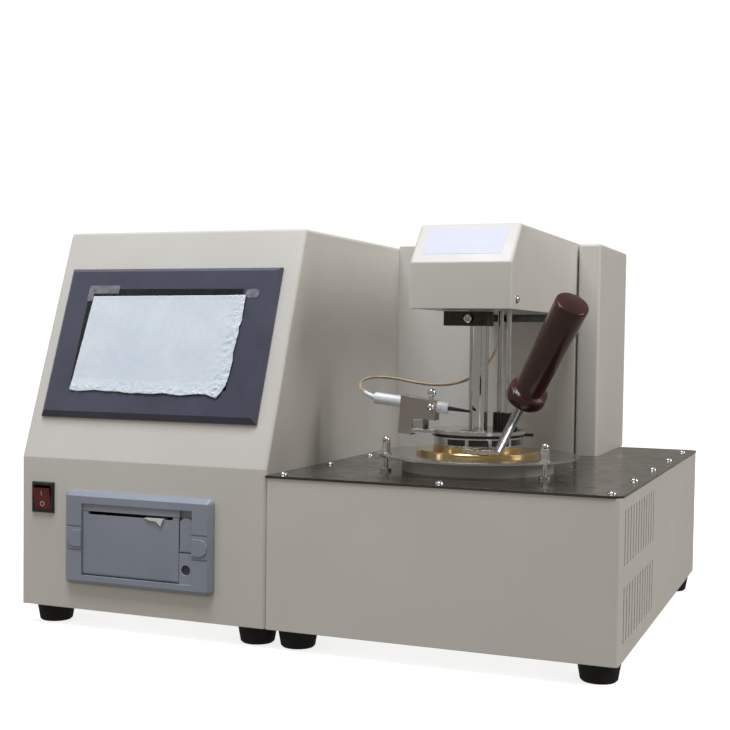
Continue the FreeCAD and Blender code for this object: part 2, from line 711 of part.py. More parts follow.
def printer_door():
    door_high = bar_low - s.loose
    slot_low = door_high - s.step_height
    back = door_front + s.door_gauge
    panel = block(door_x, (door_front, back), (hinge_z, slot_low))
    ends = [block((x, x + s.step_width), (door_front, back), (slot_low, door_high))
            for x in (door_x[0], door_x[1] - s.step_width)]
    barrel = rod(s.hinge_radius, (door_x[0], hinge_y, hinge_z), door_x[1] - door_x[0], "X")
    reach = s.roll_width / 2 + s.loose
    ears = [block((x, x + s.ear_gauge), (back, s.platen_y + s.platen_radius),
                  (platen_z - s.platen_radius, platen_z + s.platen_radius))
            for x in (door_mid - reach - s.ear_gauge, door_mid + reach)]
    solid = fuse(panel, barrel, *ears, *ends)
    bores = [rod(s.platen_shaft + s.fit, (door_mid - 2 * reach, s.platen_y, platen_z), 4 * reach, "X")]
    for x in (door_x[0] - s.overrun, door_x[1] - s.hinge_back - s.slack):
        bores.append(rod(s.hinge_pin + s.fit, (x, hinge_y, hinge_z),
                         s.hinge_back + s.overrun + s.slack, "X"))
    return piece("printer_door", cut(solid, *bores))


def platen_roller():
    roller = rod(s.platen_radius, (door_mid - s.roll_width / 2, s.platen_y, platen_z), s.roll_width, "X")
    reach = s.roll_width / 2 + s.loose + s.ear_gauge
    shaft = rod(s.platen_shaft, (door_mid - reach, s.platen_y, platen_z), 2 * reach, "X")
    return piece("platen_roller", fuse(roller, shaft))


# Torn end of the paper: shares of the stub's width and of its drop
TEAR_SHARES = [(0.25, 0.25), (0.6, 0.33), (0.85, 1)]


def paper_stub():
    high_x = column_x[0] - s.stub_from_right
    low_x = high_x - s.stub_width
    flat_z = bar_low - s.loose - s.step_height + s.slack
    top = flat_z + s.stub_gauge
    front = door_front - s.stub_reach
    flat = block((low_x, high_x), (front, door_front + s.stub_tail), (flat_z, top))
    edge = [(low_x + s.stub_width * a, flat_z - s.stub_drop * b) for a, b in TEAR_SHARES]
    torn = padded("XZ", [(low_x, top), *edge, (high_x, top)], s.stub_gauge,
                  (ZERO, front - s.stub_gauge, ZERO))
    return piece("paper_stub", fuse(flat, torn))


def printer_latch():
    deep = (door_front, door_front + s.lever_gauge)
    body = block(lever_x, deep, (lever_z, lever_high - s.lever_top))
    wide = lever_x[1] - lever_x[0]
    middle = (lever_x[0] + lever_x[1]) / 2
    crown = common(block(lever_x, deep, (lever_high - 2 * s.lever_top, lever_high)),
                   rod(s.lever_crown, (middle, door_front, lever_high - s.lever_crown), s.lever_gauge, "Y"))
    barrel = rod(s.lever_foot / 2, (lever_x[0], lever_y, lever_z), wide, "X")
    bore = rod(s.lever_pin + s.fit, (lever_x[0] - s.overrun, lever_y, lever_z), wide + 2 * s.overrun, "X")
    return piece("printer_latch", cut(fuse(body, crown, barrel), bore))


def printer_button():
    front = door_front + s.button_sink
    stem = rod(s.button_radius, (button_mid[0], front, button_mid[1]), s.button_length, "Y")
    collar = rod(s.button_collar, (button_mid[0], s.slack, button_mid[1]), s.button_collar_gauge, "Y")
    return piece("printer_button", fuse(stem, collar))





def printer_case():
    wall = s.case_wall
    outer = block((bay_x[0] - wall, bay_x[1] + wall), (ZERO, s.case_depth),
                  (bay_z[0] - wall, bay_z[1] + wall))
    inner = block(bay_x, (-s.overrun, s.case_depth - wall), bay_z)
    spindle = rod(s.roll_core - s.fit, (bay_x[0], roll_y, roll_z), bay_x[1] - bay_x[0], "X")
    head_y = s.platen_y + s.platen_radius + s.loose
    head = block((door_mid - s.roll_width / 2, door_mid + s.roll_width / 2), (head_y, head_y + s.ear_gauge),
                 (bar_low - s.platen_drop, bay_z[1]))
    return piece("printer_case", fuse(cut(outer, inner), spindle, head))


def paper_roll():
    start = (door_mid - s.roll_width / 2, roll_y, roll_z)
    return piece("paper_roll", tube(s.roll_radius, s.roll_core, start, s.roll_width, "X"))


# Electronics in the console
def mains_inlet():
    back = s.body_depth
    face = back + s.inlet_flange
    body = inlet_box(ZERO, back - s.inlet_depth, face)
    flange = inlet_box(s.inlet_margin, back, face)
    low_x = left + s.inlet_left + (s.inlet_width - s.socket_width) / 2
    low_z = s.inlet_low + (s.inlet_width - s.socket_width) / 2
    well = block((low_x, low_x + s.socket_width), (face - s.socket_deep, face + s.overrun),
                 (low_z, low_z + s.socket_height))
    mid_x = low_x + s.socket_width / 2
    mid_z = low_z + s.socket_height / 2
    pins = []
    for side in (-1, 0, 1):
        x = mid_x + side * s.pin_pitch
        pins.append(block((x - s.pin_width / 2, x + s.pin_width / 2),
                          (face - s.socket_deep, face - s.socket_deep + s.pin_length),
                          (mid_z - s.pin_deep / 2, mid_z + s.pin_deep / 2)))
    holder = rod(s.fuse_radius, (mid_x, back, low_z + s.socket_height + s.fuse_rise),
                 s.inlet_flange + s.fuse_length, "Y")
    return piece("mains_inlet", fuse(cut(fuse(body, flange), well), holder, *pins))


def power_supply():
    high_x = -s.supply_right
    low_x = high_x - s.supply_width
    low_y = s.body_depth - s.gauge - s.supply_back - s.supply_depth
    low = s.gauge
    high = low + s.supply_height
    case = block((low_x, high_x), (low_y, low_y + s.supply_depth), (low, high))
    tray = block((low_x + s.gauge, high_x - s.gauge), (low_y - s.overrun, low_y + s.block_width),
                 (low + s.block_height, high + s.overrun))
    terminal = block((low_x + s.gauge, low_x + s.gauge + s.block_length), (low_y, low_y + s.block_width / 2),
                     (low + s.block_height, low + 2 * s.block_height))
    return piece("power_supply", fuse(cut(case, tray), terminal))


def control_board():
    low_x = left + s.board_left
    low_y = s.board_front
    high = s.gauge + s.spacer_height
    top = high + s.board_gauge
    parts = [block((low_x, low_x + s.board_width), (low_y, low_y + s.board_depth), (high, top))]
    for x in (low_x + s.spacer_inset, low_x + s.board_width - s.spacer_inset):
        for y in (low_y + s.spacer_inset, low_y + s.board_depth - s.spacer_inset):
            parts.append(rod(s.spacer_radius, (x, y, s.gauge), s.spacer_height))
    chip_y = low_y + s.board_depth / 2
    for i in range(3):
        x = low_x + s.chip_first + i * s.chip_pitch
        parts.append(block((x, x + s.chip_width), (chip_y, chip_y + s.chip_width),
                           (top, top + s.chip_height)))
    parts.append(block((low_x + s.block_width, low_x + s.block_width + s.block_length),
                       (low_y + s.board_depth - s.block_width, low_y + s.board_depth),
                       (top, top + s.block_height)))
    return piece("control_board", fuse(*parts))


# Base shell: four walls with a folded lip that carries the top plate
SCREW_COUNT = 5
STUD_COUNT = 3


def screw_places():
    pitch = (s.body_depth - s.screw_front - s.screw_back) / (SCREW_COUNT - 1)
    places = [(s.base_width - s.screw_inset, s.screw_front + k * pitch) for k in range(SCREW_COUNT)]
    places += [(s.screw_inset, s.screw_front + k * pitch) for k in range(SCREW_COUNT - 1)]
    return places + [(s.base_width / 2, s.screw_front)]


vent_height = (s.base_height - s.vent_low - s.vent_gap - s.vent_top) / 2


def base_shell():
    outer = block((ZERO, s.base_width), (ZERO, s.body_depth), (ZERO, s.base_height))
    tall = s.base_height.value - hair
    outer = rounded(outer, s.bend, lambda box, edge: box.ZLength > tall)
    lip = s.screw_inset + s.screw_head
    inner = block((s.gauge, s.base_width - s.gauge), (s.gauge, s.body_depth - s.gauge),
                  (-s.overrun, s.base_height - s.gauge))
    mouth = block((lip, s.base_width - lip), (lip + s.gauge, s.body_depth - lip),
                  (ZERO, s.base_height + s.overrun))
    slits = []
    for y in vent_row(s.vent_first):
        for z in (s.vent_low, s.vent_low + vent_height + s.vent_gap):
            slits.append(block((s.base_width - s.overrun, s.base_width + s.overrun), (y, y + s.vent_width),
                               (z, z + vent_height)))
    holes = [rod(s.screw_radius, (x, y, s.base_height - s.overrun), 2 * s.overrun) for x, y in screw_places()]
    return piece("base_shell", cut(outer, inner, mouth, *slits, *holes))


def top_plate():
    plate = block((ZERO, s.base_width + s.plate_overhang),
                  (-s.plate_overhang, s.body_depth + s.plate_overhang),
                  (s.base_height, base_top))
    right = s.base_width.value
    plate = rounded(plate, s.plate_corner,
                    lambda box, edge: box.XMin > right and max(box.XLength, box.YLength) < hair)
    low = s.base_height - s.overrun
    deep = s.plate_gauge + 2 * s.overrun
    holes = [rod(s.screw_radius, (x, y, low), deep) for x, y in screw_places()]
    holes.append(rod(s.plate_hole, on_axis(low), deep))
    holes.append(rod(s.motor_pilot, (s.cup_x, mast_y, low), deep))
    return piece("top_plate", cut(plate, *holes))


# Outline of a button head: shares of its radius and of its height
DOME_SHARES = [(1, 0), (0.93, 0.45), (0.72, 0.82), (0.42, 1)]


def button_screw(at, shank, turn=None):
    dome = s.screw_dome
    return turned([
        (ZERO, -shank),
        (s.screw_radius, -shank),
        (s.screw_radius, ZERO),
        *[(s.screw_head * a, dome * b) for a, b in DOME_SHARES],
        (s.socket_radius, dome),
        (s.socket_radius, dome - s.socket_depth),
        (ZERO, dome - s.socket_depth),
    ], at, turn)


def stud_places():
    return [polar(s.stud_circle, s.stud_first_angle.value + 360 * k / STUD_COUNT) for k in range(STUD_COUNT)]


def stud_stack(dx, dy):
    washer_top = disc_top + s.washer_gauge
    second = washer_top + s.nut_step
    third = second + s.nut_step
    return fuse(
        rod(s.stud_radius, on_axis(base_top, dx, dy), third - base_top),
        rod(s.foot_nut_radius, on_axis(base_top, dx, dy), s.foot_nut_height),
        rod(s.washer_radius, on_axis(disc_top, dx, dy), s.washer_gauge),
        *[prism(s.nut_radius, on_axis(low, dx, dy), s.nut_height) for low in (washer_top, second, third)],
        rod(s.cap_neck, on_axis(second, dx, dy), 2 * s.nut_step),
        ball(s.cap_radius, on_axis(third + s.nut_height + s.cap_rise, dx, dy)))


def base_fasteners():
    items = [button_screw((x, y, base_top), s.plate_gauge + s.gauge) for x, y in screw_places()]
    items += [stud_stack(dx, dy) for dx, dy in stud_places()]
    return piece("base_fasteners", group(*items))


# Heating bath, centred on the test cup
def bath_collar():
    collar = tube(s.collar_radius, s.collar_radius - s.collar_wall, on_axis(base_top), disc_under - base_top)
    return piece("bath_collar", collar)


def shield_disc():
    disc = tube(s.disc_radius, s.disc_hole, on_axis(disc_under), s.disc_gauge)
    holes = [rod(s.stud_radius, on_axis(disc_under - s.overrun, dx, dy), s.disc_gauge + 2 * s.overrun)
             for dx, dy in stud_places()]
    return piece("shield_disc", cut(disc, *holes))


bath_floor = cup_floor - s.cup_bottom - s.bath_gap
bath_low = bath_floor - s.bath_bottom


def bath_body():
    flange_low = s.base_height - s.bath_flange_gauge
    return piece("bath_body", turned([
        (ZERO, bath_low),
        (s.bath_radius, bath_low),
        (s.bath_radius, flange_low),
        (s.bath_flange, flange_low),
        (s.bath_flange, s.base_height),
        (s.bath_radius, s.base_height),
        (s.bath_radius, disc_top),
        (s.bath_bore, disc_top),
        (s.bath_bore, bath_floor),
        (ZERO, bath_floor),
    ], (s.cup_x, s.cup_y, ZERO)))


def bath_heater():
    low = bath_low + s.heater_lift
    high = low + s.heater_height
    band = tube(s.heater_radius, s.bath_radius, on_axis(low), s.heater_height)
    half = s.heater_gap / 2
    slit = block((s.cup_x + s.bath_radius - s.overrun, s.cup_x + s.heater_radius + s.overrun),
                 (s.cup_y - half, s.cup_y + half), (low - s.overrun, high + s.overrun))
    edge = s.cup_x + s.heater_radius
    tabs = [block((edge - s.gauge, edge + s.tab_reach), (y, y + s.gauge),
                  (low + s.tab_margin, high - s.tab_margin))
            for y in (s.cup_y - half - s.gauge, s.cup_y + half)]
    return piece("bath_heater", cut(fuse(band, *tabs), slit))


def bath_plate():
    return piece("bath_plate", turned([
        (s.brass_bore, disc_top),
        (s.brass_radius, disc_top),
        (s.brass_radius, brass_top - s.brass_chamfer),
        (s.brass_radius - s.brass_chamfer, brass_top),
        (s.brass_bore, brass_top),
    ], (s.cup_x, s.cup_y, ZERO)))


# Test cup with its handle
def test_cup():
    bowl = turned([
        (ZERO, cup_floor - s.cup_bottom),
        (s.cup_outer, cup_floor - s.cup_bottom),
        (s.cup_outer, brass_top),
        (s.cup_flange, brass_top),
        (s.cup_flange, flange_top),
        (s.cup_inner, flange_top),
        (s.cup_inner, cup_floor),
        (ZERO, cup_floor),
    ], (s.cup_x, s.cup_y, ZERO))
    lug = block((s.cup_x + s.lug_left, s.cup_x + s.lug_right), (s.cup_y - s.lug_reach, s.cup_y - s.cup_ledge),
                (brass_top, strap_low))
    return piece("test_cup", fuse(bowl, lug))


def handle_turn():
    return Rotation(Vector(0, 0, 1), Vector(s.handle_run_x.value, s.handle_run_y.value, s.handle_rise.value))


def along_handle(distance):
    steps = (s.handle_run_x, s.handle_run_y, s.handle_rise)
    squares = [step * step for step in steps]
    run = (squares[0] + squares[1] + squares[2]).root()
    foot = (*handle_foot, flange_top - s.strap_gauge / 2)
    return tuple(a + distance * b / run for a, b in zip(foot, steps))


def cup_handle_arm():
    x, y = handle_foot
    strap = block((x - s.strap_length, x + s.handle_rod), (y - s.strap_width / 2, y + s.strap_width / 2),
                  (strap_low, flange_top + s.strap_proud))
    bar = doc.addObject("Part::Cylinder", "Rod")
    bind(bar, Radius=s.handle_rod, Height=s.rod_visible + s.rod_inside - s.rod_start)
    put(bar, along_handle(s.rod_start), handle_turn())
    return piece("cup_handle_arm", fuse(strap, bar))


edge_share = 0.3
neck_flare_share = 0.2
neck_rise_share = 0.5


def cup_handle_grip():
    start = s.rod_visible
    ring = start + s.grip_ring_length
    end = start + s.grip_length
    ring_edge = s.ring_round * edge_share
    end_edge = s.grip_round * edge_share
    solid = turned([
        (ZERO, start + s.rod_inside),
        (s.handle_rod, start + s.rod_inside),
        (s.handle_rod, start),
        (s.grip_ring - s.ring_round, start),
        (s.grip_ring - ring_edge, start + ring_edge),
        (s.grip_ring, start + s.ring_round),
        (s.grip_ring, ring - s.ring_round),
        (s.grip_ring - ring_edge, ring - ring_edge),
        (s.grip_neck + s.ring_round * neck_flare_share, ring),
        (s.grip_neck, ring + s.ring_round * neck_rise_share),
        (s.grip_radius, end - 2 * s.grip_round),
        (s.grip_radius, end - s.grip_round),
        (s.grip_radius - end_edge, end - end_edge),
        (s.grip_radius - s.grip_round, end),
        (ZERO, end),
    ])
    return piece("cup_handle_grip", solid, along_handle(ZERO), handle_turn())


# Cooling fan behind the vent slits
fan_right = s.base_width - s.gauge
fan_y = s.vent_first + ((VENT_COUNT - 1) * s.vent_pitch + s.vent_width) / 2
fan_z = s.vent_low + vent_height + s.vent_gap / 2
FAN_BLADES = 7
blade_root_share = 0.9
BLADE_SHIFT_SHARES = (0.06, -0.22)


def cooling_fan_frame():
    half = s.fan_size / 2
    inner = fan_right - s.fan_gauge
    deep = s.fan_gauge + 2 * s.overrun
    frame = block((inner, fan_right), (fan_y - half, fan_y + half), (fan_z - half, fan_z + half))
    reach = half - s.fan_hole_inset
    tools = [rod(s.fan_bore, (inner - s.overrun, fan_y, fan_z), deep, "X")]
    tools += [rod(s.fan_hole, (inner - s.overrun, y, z), deep, "X")
              for y in (fan_y - reach, fan_y + reach) for z in (fan_z - reach, fan_z + reach)]
    thick = s.fan_blade_gauge * 2
    arm = half - s.fan_strut
    thin = s.fan_strut / 2
    hub = rod(s.fan_stator, (inner, fan_y, fan_z), thick, "X")
    pin = rod(s.screw_radius, (inner, fan_y, fan_z), s.fan_pin, "X")
    upright = block((inner, inner + thick), (fan_y - thin, fan_y + thin), (fan_z - arm, fan_z + arm))
    level = block((inner, inner + thick), (fan_y - arm, fan_y + arm), (fan_z - thin, fan_z + thin))
    return piece("cooling_fan_frame", fuse(cut(frame, *tools), hub, pin, upright, level))


def cooling_fan_rotor():
    inner = fan_right - s.fan_gauge + s.fan_blade_gauge * 2 + s.fan_boss_gap
    length = s.fan_gauge - s.fan_blade_gauge * 2 - s.fan_boss_gap * 2
    half = s.fan_blade_gauge / 2
    shift = [length * share for share in BLADE_SHIFT_SHARES]
    blades = []
    for k in range(FAN_BLADES):
        blade = block((ZERO, length), (-half, half), (s.fan_hub * blade_root_share, s.fan_blade_reach))
        pitched = put(group(blade), (*shift, ZERO), Rotation(Vector(0, 0, 1), s.fan_blade_pitch.value))
        blades.append(put(group(pitched), ORIGIN, Rotation(Vector(1, 0, 0), 360 * k / FAN_BLADES)))
    hub = rod(s.fan_hub, ORIGIN, length, "X")
    bore = rod(s.screw_radius + s.fit, (-s.overrun, ZERO, ZERO), length + 2 * s.overrun, "X")
    shell = rod(s.fan_bore, ORIGIN, length, "X")
    return piece("cooling_fan_rotor", cut(common(fuse(hub, *blades), shell), bore), (inner, fan_y, fan_z))


# Lift tower at the back of the base
def tower_shell():
    column = block((column_left, tower_right), (tower_y, tower_back), (base_top, tower_top))
    low = base_top.value
    step = s.overrun.value
    column = rounded(column, s.bend, lambda box, edge: box.ZLength > step or box.ZMin > low + step)
    hollow = block((column_left + s.gauge, tower_right - s.gauge), (tower_y + s.gauge, tower_back - s.gauge),
                   (base_top - s.overrun, tower_top - s.gauge))
    back = block((ZERO, column_left + s.bend), (tower_back - s.gauge, tower_back), (base_top, tower_top))
    return piece("tower_shell", cut(fuse(column, back), hollow))


window_left = hood_left - s.window_gap
sill = hood_low - s.sill_gap


def tower_front():
    front = tower_y
    skin = (front, front + s.gauge)
    inside = tower_back - s.gauge
    lower = block((ZERO, hood_right), skin, (base_top, sill))
    upper = block((ZERO, window_left), skin, (sill, tower_top))
    roof = block((ZERO, window_left), (front, inside), (tower_top - s.gauge, tower_top))
    side = block((ZERO, s.gauge), (front, inside), (base_top, tower_top))
    jamb = block((window_left - s.gauge, window_left), (front, inside), (sill, tower_top))
    fold = block((hood_right - s.gauge, hood_right), (front, front + s.fold_depth), (base_top, sill))
    ledge = block((window_left - s.gauge, hood_right), (front, front + s.ledge_depth), (sill - s.gauge, sill))
    body = fuse(lower, upper, roof, side, jamb, fold, ledge)
    right = hood_right.value - hair
    face = front.value + hair
    body = rounded(body, s.front_corner,
                   lambda box, edge: box.XMin > right and box.YMax < face and box.ZLength > s.overrun.value)
    return piece("tower_front", body)


def mast_column(low, height, dx, radius):
    return rod(radius, (s.cup_x + dx, mast_y, low), height)


def mast_plate(low, height, bores):
    plate = block((s.cup_x - mast_half, s.cup_x + mast_half),
                  (mast_y - s.block_depth / 2, mast_y + s.block_depth / 2), (low, low + height))
    tools = [mast_column(low - s.overrun, height + 2 * s.overrun, dx, radius) for dx, radius in bores]
    return cut(plate, *tools)


def mast_blocks():
    guides = [(-s.guide_spread, s.guide_radius), (s.guide_spread, s.guide_radius)]
    lower = mast_plate(base_top, s.block_gauge, guides + [(ZERO, s.screw_clear)])
    upper = mast_plate(base_top + guide_height - s.block_gauge, s.block_gauge,
                       guides + [(ZERO, s.motor_shaft + s.fit)])
    return piece("mast_blocks", group(lower, upper))


def guide_rods():
    rods = [mast_column(base_top, guide_height, dx, s.guide_radius)
            for dx in (-s.guide_spread, s.guide_spread)]
    return piece("guide_rods", group(*rods))


def lift_motor():
    half = s.motor_size / 2
    body = block((s.cup_x - half, s.cup_x + half), (mast_y - half, mast_y + half),
                 (s.base_height - s.motor_height, s.base_height))
    tall = s.motor_height.value - hair
    body = rounded(body, s.bend, lambda box, edge: box.ZLength > tall)
    pilot = mast_column(s.base_height, s.motor_pilot_height, ZERO, s.motor_pilot - s.fit)
    bore = mast_column(s.base_height - s.motor_shaft_length, 2 * s.motor_shaft_length, ZERO,
                       s.motor_shaft + s.fit)
    return piece("lift_motor", cut(fuse(body, pilot), bore))


def lead_screw():
    low = s.base_height - s.motor_shaft_length + s.loose
    coupling_low = mast_low + s.coupling_lift
    coupling_top = coupling_low + s.coupling_height
    journal = base_top + guide_height - s.block_gauge - s.loose
    return piece("lead_screw", fuse(
        mast_column(low, coupling_low - low, ZERO, s.motor_shaft),
        mast_column(coupling_low, s.coupling_height, ZERO, s.coupling_radius),
        mast_column(coupling_top, journal - coupling_top, ZERO, s.screw_rod),
        mast_column(journal, s.block_gauge, ZERO, s.motor_shaft)))


# Head that rides on the guide rods
carriage_low = base_top + s.carriage_low
carriage_top = carriage_low + s.carriage_height
arm_back = mast_y - s.carriage_depth / 2
arm_front = arm_back - s.arm_gauge


def lift_carriage():
    solid = block((s.cup_x - mast_half, s.cup_x + mast_half), (arm_back, mast_y + s.carriage_depth / 2),
                  (carriage_low, carriage_top))
    bores = ((-s.guide_spread, s.guide_radius + s.fit), (s.guide_spread, s.guide_radius + s.fit),
             (ZERO, s.screw_rod + s.slack))
    tools = [mast_column(carriage_low - s.overrun, s.carriage_height + 2 * s.overrun, dx, radius)
             for dx, radius in bores]
    return piece("lift_carriage", cut(solid, *tools))


def head_arm():
    wide = (s.cup_x - mast_half, s.cup_x + mast_half)
    plate = block(wide, (arm_front, arm_back), (carriage_low, hood_top - s.gauge))
    foot = block(wide, (arm_front - s.arm_overlap, arm_front), (floor_top, floor_top + s.arm_gauge))
    return piece("head_arm", fuse(plate, foot))


def hood_profile(inset, reach):
    rise = hood_top - hood_bend
    slope = (s.hood_setback * s.hood_setback + rise * rise).root()
    low = hood_bend - (inset * slope - inset * rise) / s.hood_setback
    top = hood_top - inset
    high_y = s.hood_front + inset * slope / rise + s.hood_setback - inset * s.hood_setback / rise
    return [
        (s.hood_front + inset, hood_low - reach),
        (hood_back - inset, hood_low - reach),
        (hood_back - inset, top),
        (high_y, top),
        (s.hood_front + inset, low),
    ]


def hood_screw_places():
    y = s.hood_front + s.hood_screw_y
    return [(y, hood_low + s.hood_screw_z), (y + s.hood_screw_pitch, hood_low + s.hood_screw_z)]


def hood():
    outer = padded("YZ", hood_profile(ZERO, ZERO), s.hood_width, (hood_left, ZERO, ZERO))
    low = hood_low.value + hair
    outer = rounded(outer, s.hood_round, lambda box, edge: box.ZMax > low)
    inner = padded("YZ", hood_profile(s.gauge, s.overrun), s.hood_width - 2 * s.gauge,
                   (hood_left + s.gauge, ZERO, ZERO))
    holes = [rod(s.screw_radius, (hood_left - s.overrun, y, z), s.hood_width + 2 * s.overrun, "X")
             for y, z in hood_screw_places()]
    return piece("hood", cut(outer, inner, *holes))


def hood_floor():
    low_x = hood_left + s.gauge
    high_x = hood_right - s.gauge
    low_y = s.hood_front + s.gauge
    plate = block((low_x, high_x), (low_y, arm_front), (hood_low, floor_top))
    lips = [block((x, x + s.gauge), (low_y + s.bend, arm_front), (floor_top, floor_top + s.floor_lip))
            for x in (low_x, high_x - s.gauge)]
    deep = s.floor_gauge + 2 * s.overrun
    low = hood_low - s.overrun
    holes = [rod(s.shaft_radius + s.loose, on_axis(low), deep),
             rod(s.probe_radius, on_axis(low, *probe_home), deep),
             rod(s.lever_rod_radius + s.fit, on_axis(low, *lever_home), deep)]
    holes += [rod(s.screw_radius, (low_x - s.overrun, y, z), s.hood_width + 2 * s.overrun, "X")
              for y, z in hood_screw_places()]
    return piece("hood_floor", cut(fuse(plate, *lips), *holes))


def hood_screws():
    items = []
    for x, side in ((hood_right, 1), (hood_left, -1)):
        for y, z in hood_screw_places():
            items.append(button_screw((x, y, z), 2 * s.gauge, Rotation(Vector(0, 1, 0), 90 * side)))
    return piece("hood_screws", group(*items))


# Stirrer with its motor
def stirrer_motor():
    half = s.motor_plate_size / 2
    low = floor_top - s.overrun
    deep = s.motor_plate + 2 * s.overrun
    plate = block((s.cup_x - half, s.cup_x + half - s.motor_plate_trim), (s.cup_y - half, s.cup_y + half),
                  (floor_top, floor_top + s.motor_plate))
    can = rod(s.stirrer_motor_radius, on_axis(floor_top + s.motor_plate), s.stirrer_motor_height)
    tools = [rod(s.shaft_radius + s.fit, on_axis(low), s.stirrer_motor_height),
             rod(s.rod_clearance, on_axis(low, *lever_home), deep),
             rod(s.probe_radius, on_axis(low, *probe_home), deep)]
    return piece("stirrer_motor", cut(fuse(plate, can), *tools))


BLADE_COUNT = 4


def stirrer_rotor(low):
    parts = [rod(s.hub_radius, on_axis(low), s.hub_height)]
    for k in range(BLADE_COUNT):
        blade = block((ZERO, s.blade_reach), (-s.blade_gauge / 2, s.blade_gauge / 2),
                      (-s.blade_width / 2, s.blade_width / 2))
        pitched = put(group(blade), ORIGIN, Rotation(Vector(1, 0, 0), s.blade_pitch.value))
        turn = Rotation(Vector(0, 0, 1), s.blade_first_angle.value + 360 * k / BLADE_COUNT)
        parts.append(put(group(pitched), on_axis(low + s.hub_height / 2), turn))
    bore = rod(s.shaft_radius, on_axis(low - s.overrun), s.hub_height + 2 * s.overrun)
    return cut(fuse(*parts), bore)


def stirrer_shaft():
    low = cup_floor + s.blade_rise
    high = floor_top + s.stirrer_motor_height - s.overrun - s.loose
    shaft = rod(s.shaft_radius, on_axis(low), high - low)
    upper = stirrer_rotor(cup_floor + s.vapour_blade_rise - s.hub_height / 2)
    return piece("stirrer_shaft", group(shaft, stirrer_rotor(low), upper))


def stirrer_tube():
    pipe = tube(s.tube_radius, s.tube_radius - s.tube_wall, on_axis(lid_high), hood_low - lid_high)
    return piece("stirrer_tube", pipe)


def rod_clamps():
    low = hood_low - s.clamp_top_gap - s.clamp_height
    ring = rod(s.tube_radius + s.clamp_wall, on_axis(low), s.clamp_height)
    face = s.cup_y - s.clamp_bar_depth
    bar = block((s.cup_x - s.clamp_bar, s.cup_x), (face, s.cup_y), (low, low + s.clamp_height))
    bore = rod(s.tube_radius, on_axis(low - s.overrun), s.clamp_height + 2 * s.overrun)
    screw_at = (s.cup_x - s.clamp_screw_reach, face - s.socket_depth, low + s.clamp_height / 2)
    screw = tube(s.clamp_screw, s.socket_radius, screw_at, s.socket_depth, "Y")
    collar = tube(s.probe_collar + s.probe_radius, s.probe_radius, on_axis(lid_high, *probe_home),
                  s.collar_height)
    return piece("rod_clamps", group(fuse(cut(fuse(ring, bar), bore), screw), collar))


def temperature_probe():
    low = flange_top - s.probe_depth
    stem = rod(s.probe_radius, on_axis(low, *probe_home), floor_top + s.probe_head - low)
    tip = ball(s.probe_radius, on_axis(low, *probe_home))
    return piece("temperature_probe", fuse(stem, tip))


# Shutter drive: a rod with a crank whose pin turns the shutter
def shutter_rod():
    low = lid_low + s.slack
    high = floor_top + s.probe_head
    return piece("shutter_rod", rod(s.lever_rod_radius, on_axis(low, *lever_home), high - low))


def shutter_crank():
    dx, dy = lever_home
    low = lid_high + s.slack
    swing = s.lever_rod_angle.value - s.crank_swing.value
    px, py = polar(s.crank_reach, swing)
    half = s.crank_width / 2
    collar = rod(s.crank_radius, on_axis(low, dx, dy), s.collar_height)
    arm = group(block((ZERO, s.crank_reach), (-half, half), (ZERO, s.crank_gauge)))
    put(arm, on_axis(low, dx, dy), Rotation(Vector(0, 0, 1), swing))
    boss = rod(half, on_axis(low, dx + px, dy + py), s.crank_gauge)
    pin_low = shutter_low + s.slack
    pin = rod(s.crank_pin, on_axis(pin_low, dx + px, dy + py), low + s.crank_gauge - pin_low)
    bore = rod(s.lever_rod_radius, on_axis(low - s.overrun, dx, dy), s.collar_height + 2 * s.overrun)
    return piece("shutter_crank", cut(fuse(collar, arm, boss, pin), bore))


# Lid: skirt over the cup flange, shutter on its boss, lid plate on top
def arc_slot(centre, distance, first, last, half, low, high):
    steps = max(2, int(abs(last - first) / s.slot_step.value) + 1)
    parts = []
    for k in range(steps + 1):
        dx, dy = polar(distance, first + (last - first) * k / steps)
        parts.append(rod(half, on_axis(low, centre[0] + dx, centre[1] + dy), high - low))
    return parts


def port(angle, low, high, wide, deep):
    near = s.port_offset - deep / 2
    hole = group(block((near, near + deep), (-wide / 2, wide / 2), (ZERO, high - low)))
    return put(hole, on_axis(low), Rotation(Vector(0, 0, 1), angle))


def lid_skirt():
    deep = s.skirt_height + 2 * s.overrun
    body = turned([
        (ZERO, skirt_high - s.skirt_top),
        (s.cup_flange - s.skirt_wall, skirt_high - s.skirt_top),
        (s.cup_flange - s.skirt_wall, skirt_low),
        (s.cup_flange, skirt_low),
        (s.cup_flange, skirt_high),
        (s.boss_radius, skirt_high),
        (s.boss_radius, lid_low),
        (ZERO, lid_low),
    ], (s.cup_x, s.cup_y, ZERO))
    low = skirt_low - s.overrun
    tools = [rod(s.shaft_radius + s.loose, on_axis(low), deep),
             rod(s.probe_radius, on_axis(low, *probe_home), deep),
             port(-90, low, skirt_high + s.slack, s.port_width, s.port_depth)]
    return piece("lid_skirt", cut(body, *tools))


